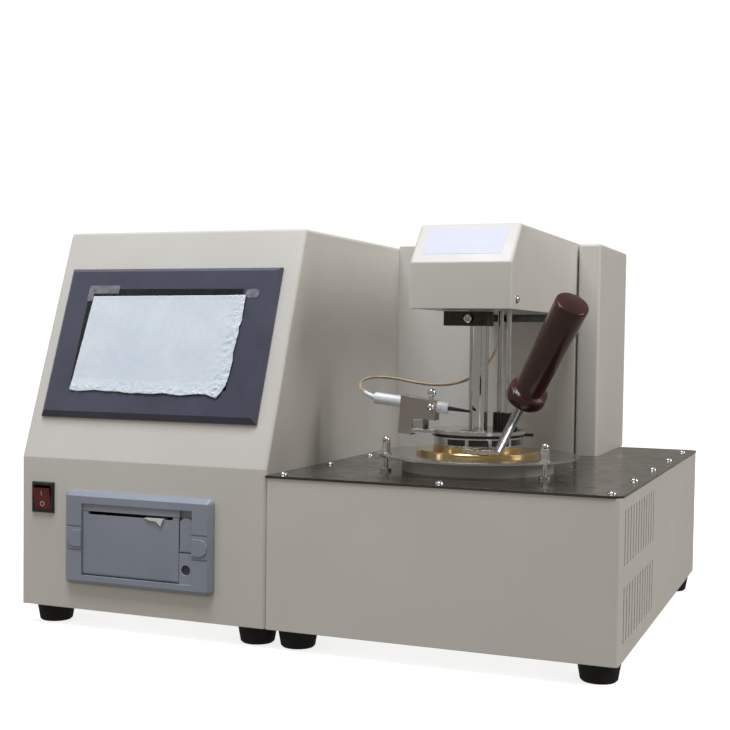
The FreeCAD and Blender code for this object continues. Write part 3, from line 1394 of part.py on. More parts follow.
def shutter():
    low = shutter_low - s.overrun
    high = shutter_high + s.overrun
    disc = rod(s.shutter_radius, on_axis(shutter_low), s.shutter_gauge)
    half = s.shutter_tip_width / 2
    tip = group(block((s.shutter_radius - s.overrun, s.shutter_tip), (-half, half), (ZERO, s.shutter_gauge)))
    put(tip, on_axis(shutter_low), Rotation(Vector(0, 0, 1), s.shutter_tip_angle.value))
    bore = rod(s.boss_radius + s.fit, on_axis(low), high - low)
    swing = s.shutter_swing.value
    probe = s.probe_angle.value
    ease = s.slot_ease.value
    probe_slot = arc_slot((ZERO, ZERO), s.probe_distance, probe - swing - ease, probe + ease,
                          s.probe_radius + s.loose, low, high)
    pin_angle = s.lever_rod_angle.value - swing / 2
    near = s.lever_rod_distance + s.crank_reach * math.cos(math.radians(s.crank_swing.value))
    room = s.crank_pin + s.loose
    slot = group(block((near - room - s.slack, s.lever_rod_distance + s.crank_reach + room), (-room, room),
                       (ZERO, high - low)))
    put(slot, on_axis(low), Rotation(Vector(0, 0, 1), pin_angle))
    window = port(-90 - swing, low, high, s.port_width, s.port_depth)
    return piece("shutter", cut(fuse(disc, tip), bore, slot, window, *probe_slot))


pivot = (s.cup_x - s.pivot_back, s.cup_y - s.arm_offset, lid_high + s.pivot_rise)


def lid_plate():
    low = lid_low - s.overrun
    high = lid_high + s.overrun
    disc = rod(s.lid_radius, on_axis(lid_low), s.lid_gauge)
    half = s.ear_width / 2
    ear = block((s.cup_x - s.ear_length, s.cup_x - s.boss_radius), (pivot[1] - half, pivot[1] + half),
                (lid_low, lid_high))
    gap = s.block_thickness / 2 + s.slack
    cheeks = [block((pivot[0] - s.cheek_width / 2, pivot[0] + s.cheek_width / 2), (y, y + s.cheek_gauge),
                    (lid_low, pivot[2] + s.cheek_top))
              for y in (pivot[1] - gap - s.cheek_gauge, pivot[1] + gap)]
    pin = rod(s.pivot_radius, (pivot[0], pivot[1] - gap - s.cheek_gauge, pivot[2]),
              2 * (gap + s.cheek_gauge), "Y")
    body = fuse(disc, ear, pin, *cheeks)
    room = s.port_width / 2 + s.loose
    window = block((s.cup_x - s.window_back, s.cup_x + s.window_front), (pivot[1] - room, pivot[1] + room),
                   (low, high))
    swing = s.crank_swing.value + s.crank_slot_ease.value
    home = s.lever_rod_angle.value
    slot = arc_slot(lever_home, s.crank_reach, home - swing, home + swing, s.crank_pin + s.loose, low, high)
    holes = [rod(s.shaft_radius + s.loose, on_axis(low), high - low),
             rod(s.probe_radius, on_axis(low, *probe_home), high - low),
             rod(s.lever_rod_radius + s.fit, on_axis(low, *lever_home), high - low)]
    return piece("lid_plate", cut(body, window, *holes, *slot))


# Igniter, built level about its pivot and set at its resting tilt
def igniter_turn():
    return Rotation(Vector(0, 1, 0), s.igniter_tilt.value)


def igniter_block():
    half = s.block_thickness / 2
    wide = (-half, half)
    leg_right = -s.block_left + s.leg_width
    body = padded("XZ", [
        (-s.block_left, -s.leg_drop - s.block_under),
        (leg_right, -s.leg_drop - s.block_under),
        (leg_right, s.block_under),
        (s.block_right, s.block_under),
        (s.block_right - s.lean_right, s.block_top_right),
        (-s.block_left - s.lean_left, s.block_top_left),
    ], s.block_thickness, (ZERO, -half, ZERO))
    lobe = rod(s.lobe_radius, (ZERO, -half, ZERO), s.block_thickness, "Y")
    neck = block((-s.lobe_radius, s.lobe_radius), wide, (ZERO, s.block_under + s.gauge))
    link = block((leg_right - s.gauge, ZERO), wide, (-s.pivot_radius, s.block_under + s.gauge))
    bore = rod(s.pivot_radius + s.fit, (ZERO, -s.block_thickness, ZERO), 2 * s.block_thickness, "Y")
    sleeve = rod(s.sleeve_radius, (-s.block_left - s.overrun, ZERO, s.sleeve_lift),
                 s.block_left + s.block_right + 2 * s.overrun, "X")
    return piece("igniter_block", cut(fuse(body, lobe, neck, link), bore, sleeve), pivot, igniter_turn())


def igniter_sleeve():
    rear = -s.sleeve_back
    body = rod(s.sleeve_radius, (rear, ZERO, s.sleeve_lift), s.sleeve_length, "X")
    bore = rod(s.nozzle_radius, (rear + s.sleeve_length - s.nozzle_sunk, ZERO, s.sleeve_lift),
               s.nozzle_sunk + s.overrun, "X")
    return piece("igniter_sleeve", cut(body, bore), pivot, igniter_turn())


def igniter_tip():
    front = -s.sleeve_back + s.sleeve_length
    stem = rod(s.nozzle_radius, (front - s.nozzle_sunk, ZERO, s.sleeve_lift), s.nozzle_sunk, "X")
    nozzle = cone(s.nozzle_radius, s.nozzle_tip, (front, ZERO, s.sleeve_lift), s.nozzle_length, "X")
    return piece("igniter_tip", fuse(stem, nozzle), pivot, igniter_turn())


def igniter_nuts():
    run = s.block_left + s.block_right - s.lean_right + s.lean_left
    lean = (s.block_top_left - s.block_top_right) / run
    top = s.block_top_right + (s.block_right - s.lean_right - s.dome_one + s.dome_stem) * lean
    first = fuse(rod(s.dome_stem, (s.dome_one, ZERO, top), s.dome_stem_height),
                 ball(s.dome_radius, (s.dome_one, ZERO, top + s.dome_stem_height + s.dome_rise)))
    face = -s.block_thickness / 2 - s.dome_stem
    x = s.block_right - s.dome_radius
    second = fuse(rod(s.dome_stem, (x, face, s.sleeve_lift), s.dome_stem, "Y"),
                  ball(s.dome_small, (x, face - s.dome_rise, s.sleeve_lift)))
    return piece("igniter_nuts", group(first, second), pivot, igniter_turn())


# Igniter lead: from the rear of the sleeve round behind the stirrer tube and up to its gland
LEAD_ROUTE = [
    (55.9, 110, 194.7), (45, 110, 195.8), (36.1, 116.5, 198.7), (32.7, 126.9, 202.3),
    (36.1, 137.3, 205.7), (45, 143.8, 208.3), (63, 145, 210.2), (80, 146.5, 208.3),
    (96, 149, 206.3), (112, 151.5, 206.6), (126.5, 153.5, 210.3), (139, 155, 217.4),
    (149, 156.5, 228), (156, 157.5, 241.5), (160, 158, 257.5), (160, 158, 275),
]


arc_share = 0.45


def cord_wire(points, radius_list):
    edges = []
    last = points[0]
    for i in range(1, len(points) - 1):
        before = points[i - 1] - points[i]
        after = points[i + 1] - points[i]
        turn = math.pi - before.getAngle(after)
        run = arc_share * min(before.Length, after.Length)
        radius = run / math.tan(turn / 2)
        radius_list.append(radius)
        before.normalize()
        after.normalize()
        first = points[i] + before * run
        second = points[i] + after * run
        bisector = before + after
        bisector.normalize()
        middle = points[i] + bisector * (math.hypot(radius, run) - radius)
        edges.append(Part.LineSegment(last, first).toShape())
        edges.append(Part.Arc(first, middle, second).toShape())
        last = second
    edges.append(Part.LineSegment(last, points[-1]).toShape())
    return Part.Wire(edges)


def igniter_lead():
    home = Vector(*[number(length) for length in HOME])
    points = [Vector(*point) + home for point in LEAD_ROUTE]
    radii = []
    path = cord_wire(points, radii)
    start = points[0]
    ahead = points[1] - points[0]
    circle = Part.Wire(Part.Circle(start, ahead, s.lead_radius.value).toShape())
    solid = path.makePipeShell([circle], True, False)
    volume_share = solid.Volume / (math.pi * s.lead_radius.value ** 2 * path.Length)
    print("igniter_lead length", round(path.Length, 1), "volume share", round(volume_share, 4))
    print("igniter_lead radii", [round(radius, 1) for radius in radii])
    item = doc.addObject("Part::Feature", "igniter_lead")
    item.Shape = solid
    item.Label = "igniter_lead"
    pieces["igniter_lead"] = item
    return item


BUILDERS = [
    console_shell, console_back_panel, floor_plates, rubber_feet, screen_bezel, screen_glass,
    screen_film, screen_housing, switch_bezel, switch_rocker, printer_bezel, printer_door,
    platen_roller, paper_stub, printer_latch, printer_button, printer_case, paper_roll,
    mains_inlet, power_supply, control_board, base_shell, top_plate, base_fasteners,
    bath_collar, shield_disc, bath_body, bath_heater, bath_plate, test_cup, cup_handle_arm,
    cup_handle_grip, cooling_fan_frame, cooling_fan_rotor, tower_shell, tower_front,
    mast_blocks, guide_rods, lift_motor, lead_screw, lift_carriage, head_arm, hood,
    hood_floor, hood_screws, stirrer_motor, stirrer_shaft, stirrer_tube, rod_clamps,
    temperature_probe, shutter_rod, shutter_crank, lid_skirt, shutter, lid_plate,
    igniter_block, igniter_sleeve, igniter_tip, igniter_nuts, igniter_lead,
]
for build in BUILDERS:
    build()
doc.recompute()

for item in doc.Objects:
    if "Invalid" in item.State or "Error" in item.State:
        raise RuntimeError(f"{item.Name} failed: {item.State}")
for label, item in pieces.items():
    if item.Shape.isNull() or not item.Shape.isValid() or not item.Shape.Solids:
        raise RuntimeError(f"{label} has no valid solid")
    item.Shape.exportStep(f"parts/{label}.step")
    print(label, len(item.Shape.Solids), round(item.Shape.Volume))
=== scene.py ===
import json
import math

import bmesh
import bpy
from mathutils import Euler, Matrix, Vector, noise


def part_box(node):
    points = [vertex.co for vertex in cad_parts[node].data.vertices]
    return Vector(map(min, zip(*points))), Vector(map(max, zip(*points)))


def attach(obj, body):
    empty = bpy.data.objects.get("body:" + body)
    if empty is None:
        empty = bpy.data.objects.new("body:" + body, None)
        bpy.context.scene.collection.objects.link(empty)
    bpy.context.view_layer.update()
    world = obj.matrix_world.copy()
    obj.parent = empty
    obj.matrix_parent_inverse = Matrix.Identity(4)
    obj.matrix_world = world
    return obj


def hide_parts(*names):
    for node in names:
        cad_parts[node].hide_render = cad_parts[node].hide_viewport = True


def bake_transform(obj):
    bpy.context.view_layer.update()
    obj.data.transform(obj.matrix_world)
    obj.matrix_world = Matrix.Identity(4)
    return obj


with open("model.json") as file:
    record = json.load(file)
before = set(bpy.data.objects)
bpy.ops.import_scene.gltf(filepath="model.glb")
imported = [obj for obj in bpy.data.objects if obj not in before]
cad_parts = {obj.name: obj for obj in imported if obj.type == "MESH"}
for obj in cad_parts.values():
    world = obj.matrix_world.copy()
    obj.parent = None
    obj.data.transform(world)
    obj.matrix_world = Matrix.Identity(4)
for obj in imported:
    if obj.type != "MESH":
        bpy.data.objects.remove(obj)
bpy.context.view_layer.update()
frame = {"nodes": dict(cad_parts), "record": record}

MM = 0.001
ACROSS = Vector((1, 0, 0))
UP = Vector((0, 0, 1))


# Camera at the viewing angle of the photograph

CAMERA_PLACE = (0.44211, -1.17341, 0.26613)
CAMERA_TURN = Euler((math.radians(87.650), math.radians(-0.781), math.radians(21.839)))
CAMERA_LENS = 61.365
CAMERA_SENSOR = 36
CAMERA_SHIFT = 0.0342
CAMERA_NEAR = 0.01


def camera():
    data = bpy.data.cameras.new("camera")
    data.lens = CAMERA_LENS
    data.sensor_width = CAMERA_SENSOR
    data.shift_y = CAMERA_SHIFT
    data.clip_start = CAMERA_NEAR
    item = bpy.data.objects.new("camera", data)
    item.location = CAMERA_PLACE
    item.rotation_euler = CAMERA_TURN
    bpy.context.collection.objects.link(item)
    bpy.context.scene.camera = item


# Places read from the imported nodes

def middle_of(node):
    low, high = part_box(node)
    return (Vector(low) + Vector(high)) / 2


CUP_AXIS = middle_of("bath_collar")
NEAR_DIRECTION = 0.97
SAME_PLANE = 0.9996


def face_towards(node, direction, spread=NEAR_DIRECTION, keep=None):
    """Middle and normal of the node's largest flat face that looks along direction."""
    mesh = frame["nodes"][node].data
    direction = Vector(direction).normalized()
    faces = [face for face in mesh.polygons
             if face.normal.dot(direction) > spread and (keep is None or keep(face.center))]
    normal = max(faces, key=lambda face: face.area).normal.copy()
    corners = [mesh.vertices[i].co for face in faces if face.normal.dot(normal) > SAME_PLANE
               for i in face.vertices]
    low = Vector([min(c[i] for c in corners) for i in range(3)])
    high = Vector([max(c[i] for c in corners) for i in range(3)])
    middle = (low + high) / 2
    lift = max((corner - middle).dot(normal) for corner in corners)
    return middle + normal * lift, normal


def standing_on(middle, normal):
    """Matrix whose x runs across the object, y up the face and z out of it."""
    up = normal.cross(ACROSS).normalized()
    turn = Matrix((ACROSS, up, normal)).transposed()
    return Matrix.Translation(middle) @ turn.to_4x4()


# Mesh helpers

def finished(name, mesh, body, material, smooth=True):
    """The mesh as a piece with its finish, riding on the body where one is given."""
    item = bpy.data.objects.new(name, mesh)
    bpy.context.collection.objects.link(item)
    for face in mesh.polygons:
        face.use_smooth = smooth
    mesh.materials.append(material)
    if body:
        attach(item, body)
    return item


def mesh_from(name, build):
    mesh = bpy.data.meshes.new(name)
    shape = bmesh.new()
    build(shape)
    bmesh.ops.recalc_face_normals(shape, faces=shape.faces)
    shape.to_mesh(mesh)
    shape.free()
    return mesh


CORNER_STEPS = 6
CIRCLE_STEPS = 40
TURN_STEPS = 24
QUARTERS = ((1, 1, 0), (-1, 1, 90), (-1, -1, 180), (1, -1, 270))


def round_outline(width, height, corner):
    """Corners of a rectangle with rounded corners, round its own middle."""
    points = []
    for side_x, side_y, start in QUARTERS:
        for k in range(CORNER_STEPS + 1):
            angle = math.radians(start + 90 * k / CORNER_STEPS)
            points.append((side_x * (width / 2 - corner) + corner * math.cos(angle),
                           side_y * (height / 2 - corner) + corner * math.sin(angle)))
    return points


def circle(radius, steps=CIRCLE_STEPS):
    turns = [2 * math.pi * k / steps for k in range(steps)]
    return [(radius * math.cos(a), radius * math.sin(a)) for a in turns]


def add_row(shape, outline, height, place):
    return [shape.verts.new(place @ Vector((x, y, height))) for x, y in outline]


def bridge(shape, first, second, closed=True):
    """Faces between two rows of corners, round to the start again where closed."""
    count = len(first)
    for k in range(count if closed else count - 1):
        after = (k + 1) % count
        shape.faces.new((first[k], first[after], second[after], second[k]))


def add_plate(shape, outline, gauge, place):
    back = add_row(shape, outline, 0, place)
    front = add_row(shape, outline, gauge, place)
    shape.faces.new(list(reversed(back)))
    shape.faces.new(front)
    bridge(shape, back, front)


def add_ring(shape, outer, inner, gauge, place):
    """A flat ring between two outlines with the same number of corners."""
    edges = ((outer, 0), (outer, gauge), (inner, gauge), (inner, 0))
    rows = [add_row(shape, outline, height, place) for outline, height in edges]
    for first, second in zip(rows, rows[1:] + rows[:1]):
        bridge(shape, first, second)


def add_turned(shape, place, profile, radius, height):
    """A head turned round the place's z, its profile in shares of radius and height."""
    rows = [add_row(shape, circle(radius * across, TURN_STEPS), height * rise, place)
            for across, rise in profile]
    for first, second in zip(rows, rows[1:]):
        bridge(shape, first, second)
    shape.faces.new(list(reversed(rows[0])))
    shape.faces.new(rows[-1])


def add_sweep(shape, points, radii, sides, offset=0.0):
    """A tube along the points, moved off them by offset towards the side that starts upright."""
    side = UP.copy()
    rings = []
    for k, point in enumerate(points):
        before = points[max(k - 1, 0)]
        after = points[min(k + 1, len(points) - 1)]
        along = (after - before).normalized()
        side = (side - along * side.dot(along)).normalized()
        other = along.cross(side)
        centre = point + side * offset
        radius = radii[k] if isinstance(radii, list) else radii
        ring = []
        for j in range(sides):
            angle = 2 * math.pi * j / sides
            out = side * math.cos(angle) + other * math.sin(angle)
            ring.append(shape.verts.new(centre + out * radius))
        rings.append(ring)
    for first, second in zip(rings, rings[1:]):
        bridge(shape, first, second)
    shape.faces.new(list(reversed(rings[0])))
    shape.faces.new(rings[-1])


# Materials: colour, gloss and relief are worked out by nodes in object space

MIX_FIRST = 6
MIX_SECOND = 7
MIX_RESULT = 2
BEVEL_SAMPLES = 4
TINT_LOW = 0.35
TINT_HIGH = 0.65
GLOSS_LOW = 0.3
GLOSS_HIGH = 0.7
EDGE_LOW = 0.02
EDGE_HIGH = 0.12


class Finish:
    """A Principled material with noises sized in metres and constants on the shader."""

    def __init__(self, name, **constants):
        self.material = bpy.data.materials.new(name)
        self.material.use_nodes = True
        self.tree = self.material.node_tree
        self.shader = self.tree.nodes["Principled BSDF"]
        for label, value in constants.items():
            self.shader.inputs[label.replace("_", " ")].default_value = value
        self.place = self.add("ShaderNodeTexCoord").outputs["Object"]
        self.normal = None

    def add(self, kind, **settings):
        node = self.tree.nodes.new(kind)
        for label, value in settings.items():
            setattr(node, label, value)
        return node

    def feed(self, socket, value):
        if isinstance(value, bpy.types.NodeSocket):
            self.tree.links.new(value, socket)
        else:
            socket.default_value = value

    def math(self, operation, first, second):
        node = self.add("ShaderNodeMath", operation=operation)
        self.feed(node.inputs[0], first)
        self.feed(node.inputs[1], second)
        return node.outputs[0]

    def noise(self, size, detail=2.0, stretch=(1, 1, 1), place=None):
        """Noise with spots about size metres across, drawn out by stretch."""
        scaled = self.add("ShaderNodeMapping")
        self.feed(scaled.inputs["Vector"], place or self.place)
        scaled.inputs["Scale"].default_value = [1 / (size * k) for k in stretch]
        node = self.add("ShaderNodeTexNoise")
        self.feed(node.inputs["Vector"], scaled.outputs["Vector"])
        node.inputs["Scale"].default_value = 1.0
        node.inputs["Detail"].default_value = detail
        return node.outputs["Fac"]

    def span(self, value, low, high, start=0.0, end=1.0):
        """The value mapped from low..high to start..end and held at both ends."""
        node = self.add("ShaderNodeMapRange")
        self.feed(node.inputs["Value"], value)
        node.inputs["From Min"].default_value = low
        node.inputs["From Max"].default_value = high
        node.inputs["To Min"].default_value = start
        node.inputs["To Max"].default_value = end
        return node.outputs["Result"]

    def mix(self, amount, first, second):
        node = self.add("ShaderNodeMix", data_type="RGBA")
        self.feed(node.inputs["Factor"], amount)
        self.feed(node.inputs[MIX_FIRST], first)
        self.feed(node.inputs[MIX_SECOND], second)
        return node.outputs[MIX_RESULT]

    def tint(self, value, dark, light, low=TINT_LOW, high=TINT_HIGH):
        """Colour from dark to light as the value goes from low to high."""
        return self.mix(self.span(value, low, high), (*dark, 1), (*light, 1))

    def round_axis(self, axis):
        """Place as distance from an upright axis and height, so that grain runs in rings."""
        offset = self.add("ShaderNodeVectorMath", operation="SUBTRACT")
        self.feed(offset.inputs[0], self.place)
        offset.inputs[1].default_value = axis
        parts = self.add("ShaderNodeSeparateXYZ")
        self.feed(parts.inputs[0], offset.outputs[0])
        flat = self.add("ShaderNodeCombineXYZ")
        self.feed(flat.inputs["X"], parts.outputs["X"])
        self.feed(flat.inputs["Y"], parts.outputs["Y"])
        length = self.add("ShaderNodeVectorMath", operation="LENGTH")
        self.feed(length.inputs[0], flat.outputs[0])
        result = self.add("ShaderNodeCombineXYZ")
        self.feed(result.inputs["X"], length.outputs["Value"])
        self.feed(result.inputs["Z"], parts.outputs["Z"])
        return result.outputs[0]

    def edge_highlight_mask(self, radius):
        """How near to a sharp edge the surface is, from 0 to 1, used to paint a highlight along edges.
        """
        bevel = self.add("ShaderNodeBevel", samples=BEVEL_SAMPLES)
        bevel.inputs["Radius"].default_value = radius
        shape = self.add("ShaderNodeNewGeometry")
        match = self.add("ShaderNodeVectorMath", operation="DOT_PRODUCT")
        self.feed(match.inputs[0], bevel.outputs["Normal"])
        self.feed(match.inputs[1], shape.outputs["Normal"])
        turned = self.math("SUBTRACT", 1.0, match.outputs["Value"])
        return self.span(turned, EDGE_LOW, EDGE_HIGH)

    def soften(self, radius):
        """Rounds the look of sharp edges by radius metres."""
        bevel = self.add("ShaderNodeBevel", samples=BEVEL_SAMPLES)
        bevel.inputs["Radius"].default_value = radius
        self.normal = bevel.outputs["Normal"]
        self.feed(self.shader.inputs["Normal"], self.normal)

    def relief(self, height, distance):
        """Bumps up to distance metres high, on top of those already there."""
        bump = self.add("ShaderNodeBump")
        bump.inputs["Strength"].default_value = 1.0
        bump.inputs["Distance"].default_value = distance
        self.feed(bump.inputs["Height"], height)
        if self.normal:
            self.feed(bump.inputs["Normal"], self.normal)
        self.normal = bump.outputs["Normal"]
        self.feed(self.shader.inputs["Normal"], self.normal)

    def colour(self, value):
        self.feed(self.shader.inputs["Base Color"], value)

    def gloss(self, value, low, high):
        """Roughness from low to high."""
        roughness = self.span(value, GLOSS_LOW, GLOSS_HIGH, low, high)
        self.feed(self.shader.inputs["Roughness"], roughness)


def coated(name, dark, light, edge_highlight, low, high, **constants):
    """Powder coat: orange peel, faint clouds and a painted highlight along the edges."""
    finish = Finish(name, **constants)
    finish.soften(0.9 * MM)
    clouds = finish.noise(110 * MM)
    body = finish.tint(clouds, dark, light)
    # the paler colour near sharp edges is a painted highlight
    finish.colour(finish.mix(finish.edge_highlight_mask(0.7 * MM), body, (*edge_highlight, 1)))
    finish.gloss(finish.noise(24 * MM), low, high)
    finish.relief(finish.noise(1.5 * MM, 1.0), 0.05 * MM)
    finish.relief(finish.noise(0.35 * MM, 2.0), 0.008 * MM)
    return finish.material


def cream_shell():
    # the paler edge colour is a painted highlight
    return coated("cream_shell", dark=(0.700, 0.676, 0.632), light=(0.730, 0.706, 0.662),
                  edge_highlight=(0.79, 0.77, 0.73), low=0.36, high=0.48, Coat_Weight=0.06)


def inner_steel():
    """Zinc plated sheet with spangles."""
    finish = Finish("inner_steel", Metallic=0.85)
    finish.soften(0.4 * MM)
    spangle = finish.noise(7 * MM, 1.0)
    finish.colour(finish.tint(spangle, (0.50, 0.51, 0.52), (0.66, 0.67, 0.67)))
    finish.gloss(finish.noise(5 * MM, 3.0), 0.30, 0.50)
    finish.relief(finish.noise(0.6 * MM), 0.01 * MM)
    return finish.material


def foot_rubber():
    finish = Finish("foot_rubber", Specular_IOR_Level=0.35)
    finish.soften(0.6 * MM)
    dust = finish.noise(9 * MM, 4.0)
    finish.colour(finish.tint(dust, (0.006, 0.006, 0.007), (0.022, 0.021, 0.020), 0.4, 0.75))
    finish.gloss(dust, 0.55, 0.80)
    finish.relief(finish.noise(0.5 * MM, 3.0), 0.05 * MM)
    return finish.material


def grained(name, dark, light, low, high, grain, depth, painted_edge_colour, **constants):
    """Moulded plastic: fine spark-eroded grain and a painted highlight along the edges."""
    finish = Finish(name, **constants)
    finish.soften(0.5 * MM)
    body = finish.tint(finish.noise(45 * MM, 3.0), dark, light)
    # the edge colour is a painted highlight near sharp edges
    finish.colour(finish.mix(finish.edge_highlight_mask(0.5 * MM), body, (*painted_edge_colour, 1)))
    finish.gloss(finish.noise(12 * MM, 3.0), low, high)
    finish.relief(finish.noise(grain, 2.0), depth)
    return finish.material


def black_bezel():
    # The slate blue colour is partly the dark plastic's own colour and partly a painted bluish
    # reflection.
    return grained("black_bezel", dark=(0.062, 0.064, 0.103), light=(0.074, 0.077, 0.120),
                   low=0.32, high=0.44, grain=0.45 * MM, depth=0.012 * MM,
                   painted_edge_colour=(0.095, 0.098, 0.130), Coat_Weight=0.1)


def dark_plastic():
    return grained("dark_plastic", dark=(0.012, 0.012, 0.014), light=(0.022, 0.022, 0.024),
                   low=0.30, high=0.48, grain=0.5 * MM, depth=0.015 * MM, painted_edge_colour=(0.04, 0.04, 0.043))


def printer_grey():
    return grained("printer_grey", dark=(0.300, 0.332, 0.405), light=(0.335, 0.368, 0.445),
                   low=0.36, high=0.50, grain=0.4 * MM, depth=0.014 * MM, painted_edge_colour=(0.42, 0.45, 0.52))


def printer_dark():
    return grained("printer_dark", dark=(0.050, 0.054, 0.064), light=(0.066, 0.070, 0.082),
                   low=0.40, high=0.55, grain=0.4 * MM, depth=0.014 * MM, painted_edge_colour=(0.10, 0.105, 0.12))


def screen_glass():
    finish = Finish("screen_glass", Coat_Weight=0.6, Coat_Roughness=0.04)
    finish.colour(finish.tint(finish.noise(60 * MM), (0.008, 0.010, 0.014), (0.014, 0.017, 0.022)))
    finish.gloss(finish.noise(18 * MM, 4.0), 0.05, 0.14)
    finish.relief(finish.noise(30 * MM), 0.02 * MM)
    return finish.material


def screen_film():
    """Milky protective film with a bright sheen."""
    finish = Finish("screen_film", Coat_Weight=0.5, Coat_Roughness=0.12, Subsurface_Weight=0.15,
                    Subsurface_Scale=0.6 * MM)
    cloud = finish.noise(38 * MM, 3.0)
    finish.colour(finish.tint(cloud, (0.77, 0.82, 0.92), (0.85, 0.89, 0.97)))
    finish.gloss(finish.noise(6 * MM, 4.0), 0.16, 0.34)
    finish.relief(finish.noise(3.5 * MM, 3.0), 0.012 * MM)
    return finish.material


def clear_tape():
    """Greyish see-through ends of the film that lie on the bezel."""
    finish = Finish("clear_tape", Alpha=0.42, Coat_Weight=0.4, Coat_Roughness=0.1)
    cloud = finish.noise(5 * MM, 3.0)
    finish.colour(finish.tint(cloud, (0.30, 0.31, 0.36), (0.46, 0.47, 0.53)))
    finish.gloss(cloud, 0.15, 0.32)
    finish.relief(cloud, 0.05 * MM)
    return finish.material


def gap_black():
    finish = Finish("gap_black", Coat_Weight=0.3, Coat_Roughness=0.08)
    finish.colour(finish.tint(finish.noise(20 * MM), (0.004, 0.004, 0.006), (0.009, 0.009, 0.012)))
    finish.gloss(finish.noise(8 * MM, 3.0), 0.18, 0.32)
    finish.relief(finish.noise(0.8 * MM), 0.01 * MM)
    return finish.material


def switch_red():
    """Clear red moulding that lets some light in."""
    finish = Finish("switch_red", Coat_Weight=0.5, Coat_Roughness=0.06, Transmission_Weight=0.12)
    finish.soften(0.4 * MM)
    finish.colour(finish.tint(finish.noise(9 * MM, 2.0), (0.13, 0.004, 0.005), (0.20, 0.007, 0.008)))
    finish.gloss(finish.noise(5 * MM, 3.0), 0.12, 0.24)
    finish.relief(finish.noise(1.2 * MM), 0.012 * MM)
    return finish.material


def paper():
    finish = Finish("paper", Specular_IOR_Level=0.3, Sheen_Weight=0.15)
    fibre = finish.noise(0.5 * MM, 4.0, (1, 3, 1))
    finish.colour(finish.tint(fibre, (0.78, 0.79, 0.79), (0.88, 0.88, 0.87)))
    finish.gloss(finish.noise(4 * MM), 0.70, 0.88)
    finish.relief(fibre, 0.02 * MM)
    return finish.material


def label_paper():
    """Blank label with a slightly lavender, semi-gloss face."""
    finish = Finish("label_paper", Coat_Weight=0.15, Coat_Roughness=0.3)
    cloud = finish.noise(18 * MM, 3.0)
    finish.colour(finish.tint(cloud, (0.60, 0.615, 0.73), (0.64, 0.655, 0.77)))
    finish.gloss(cloud, 0.32, 0.48)
    finish.relief(finish.noise(0.6 * MM, 3.0), 0.01 * MM)
    return finish.material


def mark_white():
    finish = Finish("mark_white")
    finish.colour(finish.tint(finish.noise(0.6 * MM, 3.0), (0.62, 0.60, 0.58), (0.85, 0.84, 0.82)))
    finish.gloss(finish.noise(1.5 * MM), 0.35, 0.55)
    finish.relief(finish.noise(0.5 * MM), 0.01 * MM)
    return finish.material


def platen_rubber():
    finish = Finish("platen_rubber", Specular_IOR_Level=0.3)
    rings = finish.noise(0.7 * MM, 2.0, (1, 30, 30))
    finish.colour(finish.tint(rings, (0.020, 0.020, 0.020), (0.045, 0.045, 0.045)))
    finish.gloss(finish.noise(6 * MM), 0.60, 0.80)
    finish.relief(rings, 0.03 * MM)
    return finish.material


METAL_SMEAR = 14 * MM


def metal(name, dark, light, low, high, grain, stretch, depth, axis=None, smear=METAL_SMEAR):
    """Bare metal with a drawn grain, in rings round the axis if given, and smears in its gloss."""
    finish = Finish(name, Metallic=1.0)
    finish.soften(0.35 * MM)
    source = finish.round_axis(axis) if axis else finish.place
    lines = finish.noise(grain, 3.0, stretch, source)
    finish.colour(finish.tint(lines, dark, light, 0.3, 0.7))
    finish.gloss(finish.noise(smear, 4.0), low, high)
    finish.relief(lines, depth)
    return finish.material


def bare_steel():
    return metal("bare_steel", dark=(0.50, 0.50, 0.51), light=(0.64, 0.64, 0.65), low=0.18, high=0.30,
                 grain=0.35 * MM, stretch=(1, 1, 60), depth=0.002 * MM)


def chrome():
    return metal("chrome", dark=(0.62, 0.63, 0.64), light=(0.72, 0.73, 0.74), low=0.06, high=0.14,
                 grain=0.5 * MM, stretch=(1, 1, 20), depth=0.0006 * MM)


def ground_disc():
    return metal("ground_disc", dark=(0.50, 0.50, 0.50), light=(0.62, 0.62, 0.62), low=0.14, high=0.26,
                 grain=0.30 * MM, stretch=(1, 1, 4), depth=0.004 * MM, axis=tuple(CUP_AXIS))


def aluminium():
    return metal("aluminium", dark=(0.52, 0.52, 0.53), light=(0.66, 0.66, 0.67), low=0.26, high=0.42,
                 grain=0.4 * MM, stretch=(14, 14, 1), depth=0.008 * MM)


def turned_skirt():
    return metal("turned_skirt", dark=(0.55, 0.55, 0.56), light=(0.70, 0.70, 0.71), low=0.14, high=0.28,
                 grain=0.4 * MM, stretch=(8, 8, 1), depth=0.006 * MM)


def dark_block():
    """Grey brown oxidised block."""
    return metal("dark_block", dark=(0.40, 0.365, 0.335), light=(0.50, 0.46, 0.425), low=0.34, high=0.52,
                 grain=0.8 * MM, stretch=(1, 1, 1), depth=0.010 * MM)


def black_clamp():
    return metal("black_clamp", dark=(0.045, 0.038, 0.034), light=(0.085, 0.072, 0.064), low=0.28,
                 high=0.45, grain=0.6 * MM, stretch=(1, 1, 3), depth=0.008 * MM)


def brass():
    return metal("brass", dark=(0.58, 0.41, 0.18), light=(0.74, 0.56, 0.28), low=0.12, high=0.24,
                 grain=0.35 * MM, stretch=(1, 1, 5), depth=0.008 * MM, axis=tuple(CUP_AXIS),
                 smear=11 * MM)


def bronze_plate():
    """Dark plate with a clear coat, faint clouds and a very fine relief."""
    finish = Finish("bronze_plate", Metallic=0.35, Coat_Weight=0.35, Coat_Roughness=0.14)
    finish.soften(0.5 * MM)
    cloud = finish.noise(60 * MM, 4.0)
    finish.colour(finish.tint(cloud, (0.046, 0.038, 0.031), (0.064, 0.054, 0.045)))
    finish.gloss(finish.noise(16 * MM, 4.0), 0.20, 0.32)
    finish.relief(finish.noise(0.9 * MM, 2.0), 0.0012 * MM)
    return finish.material


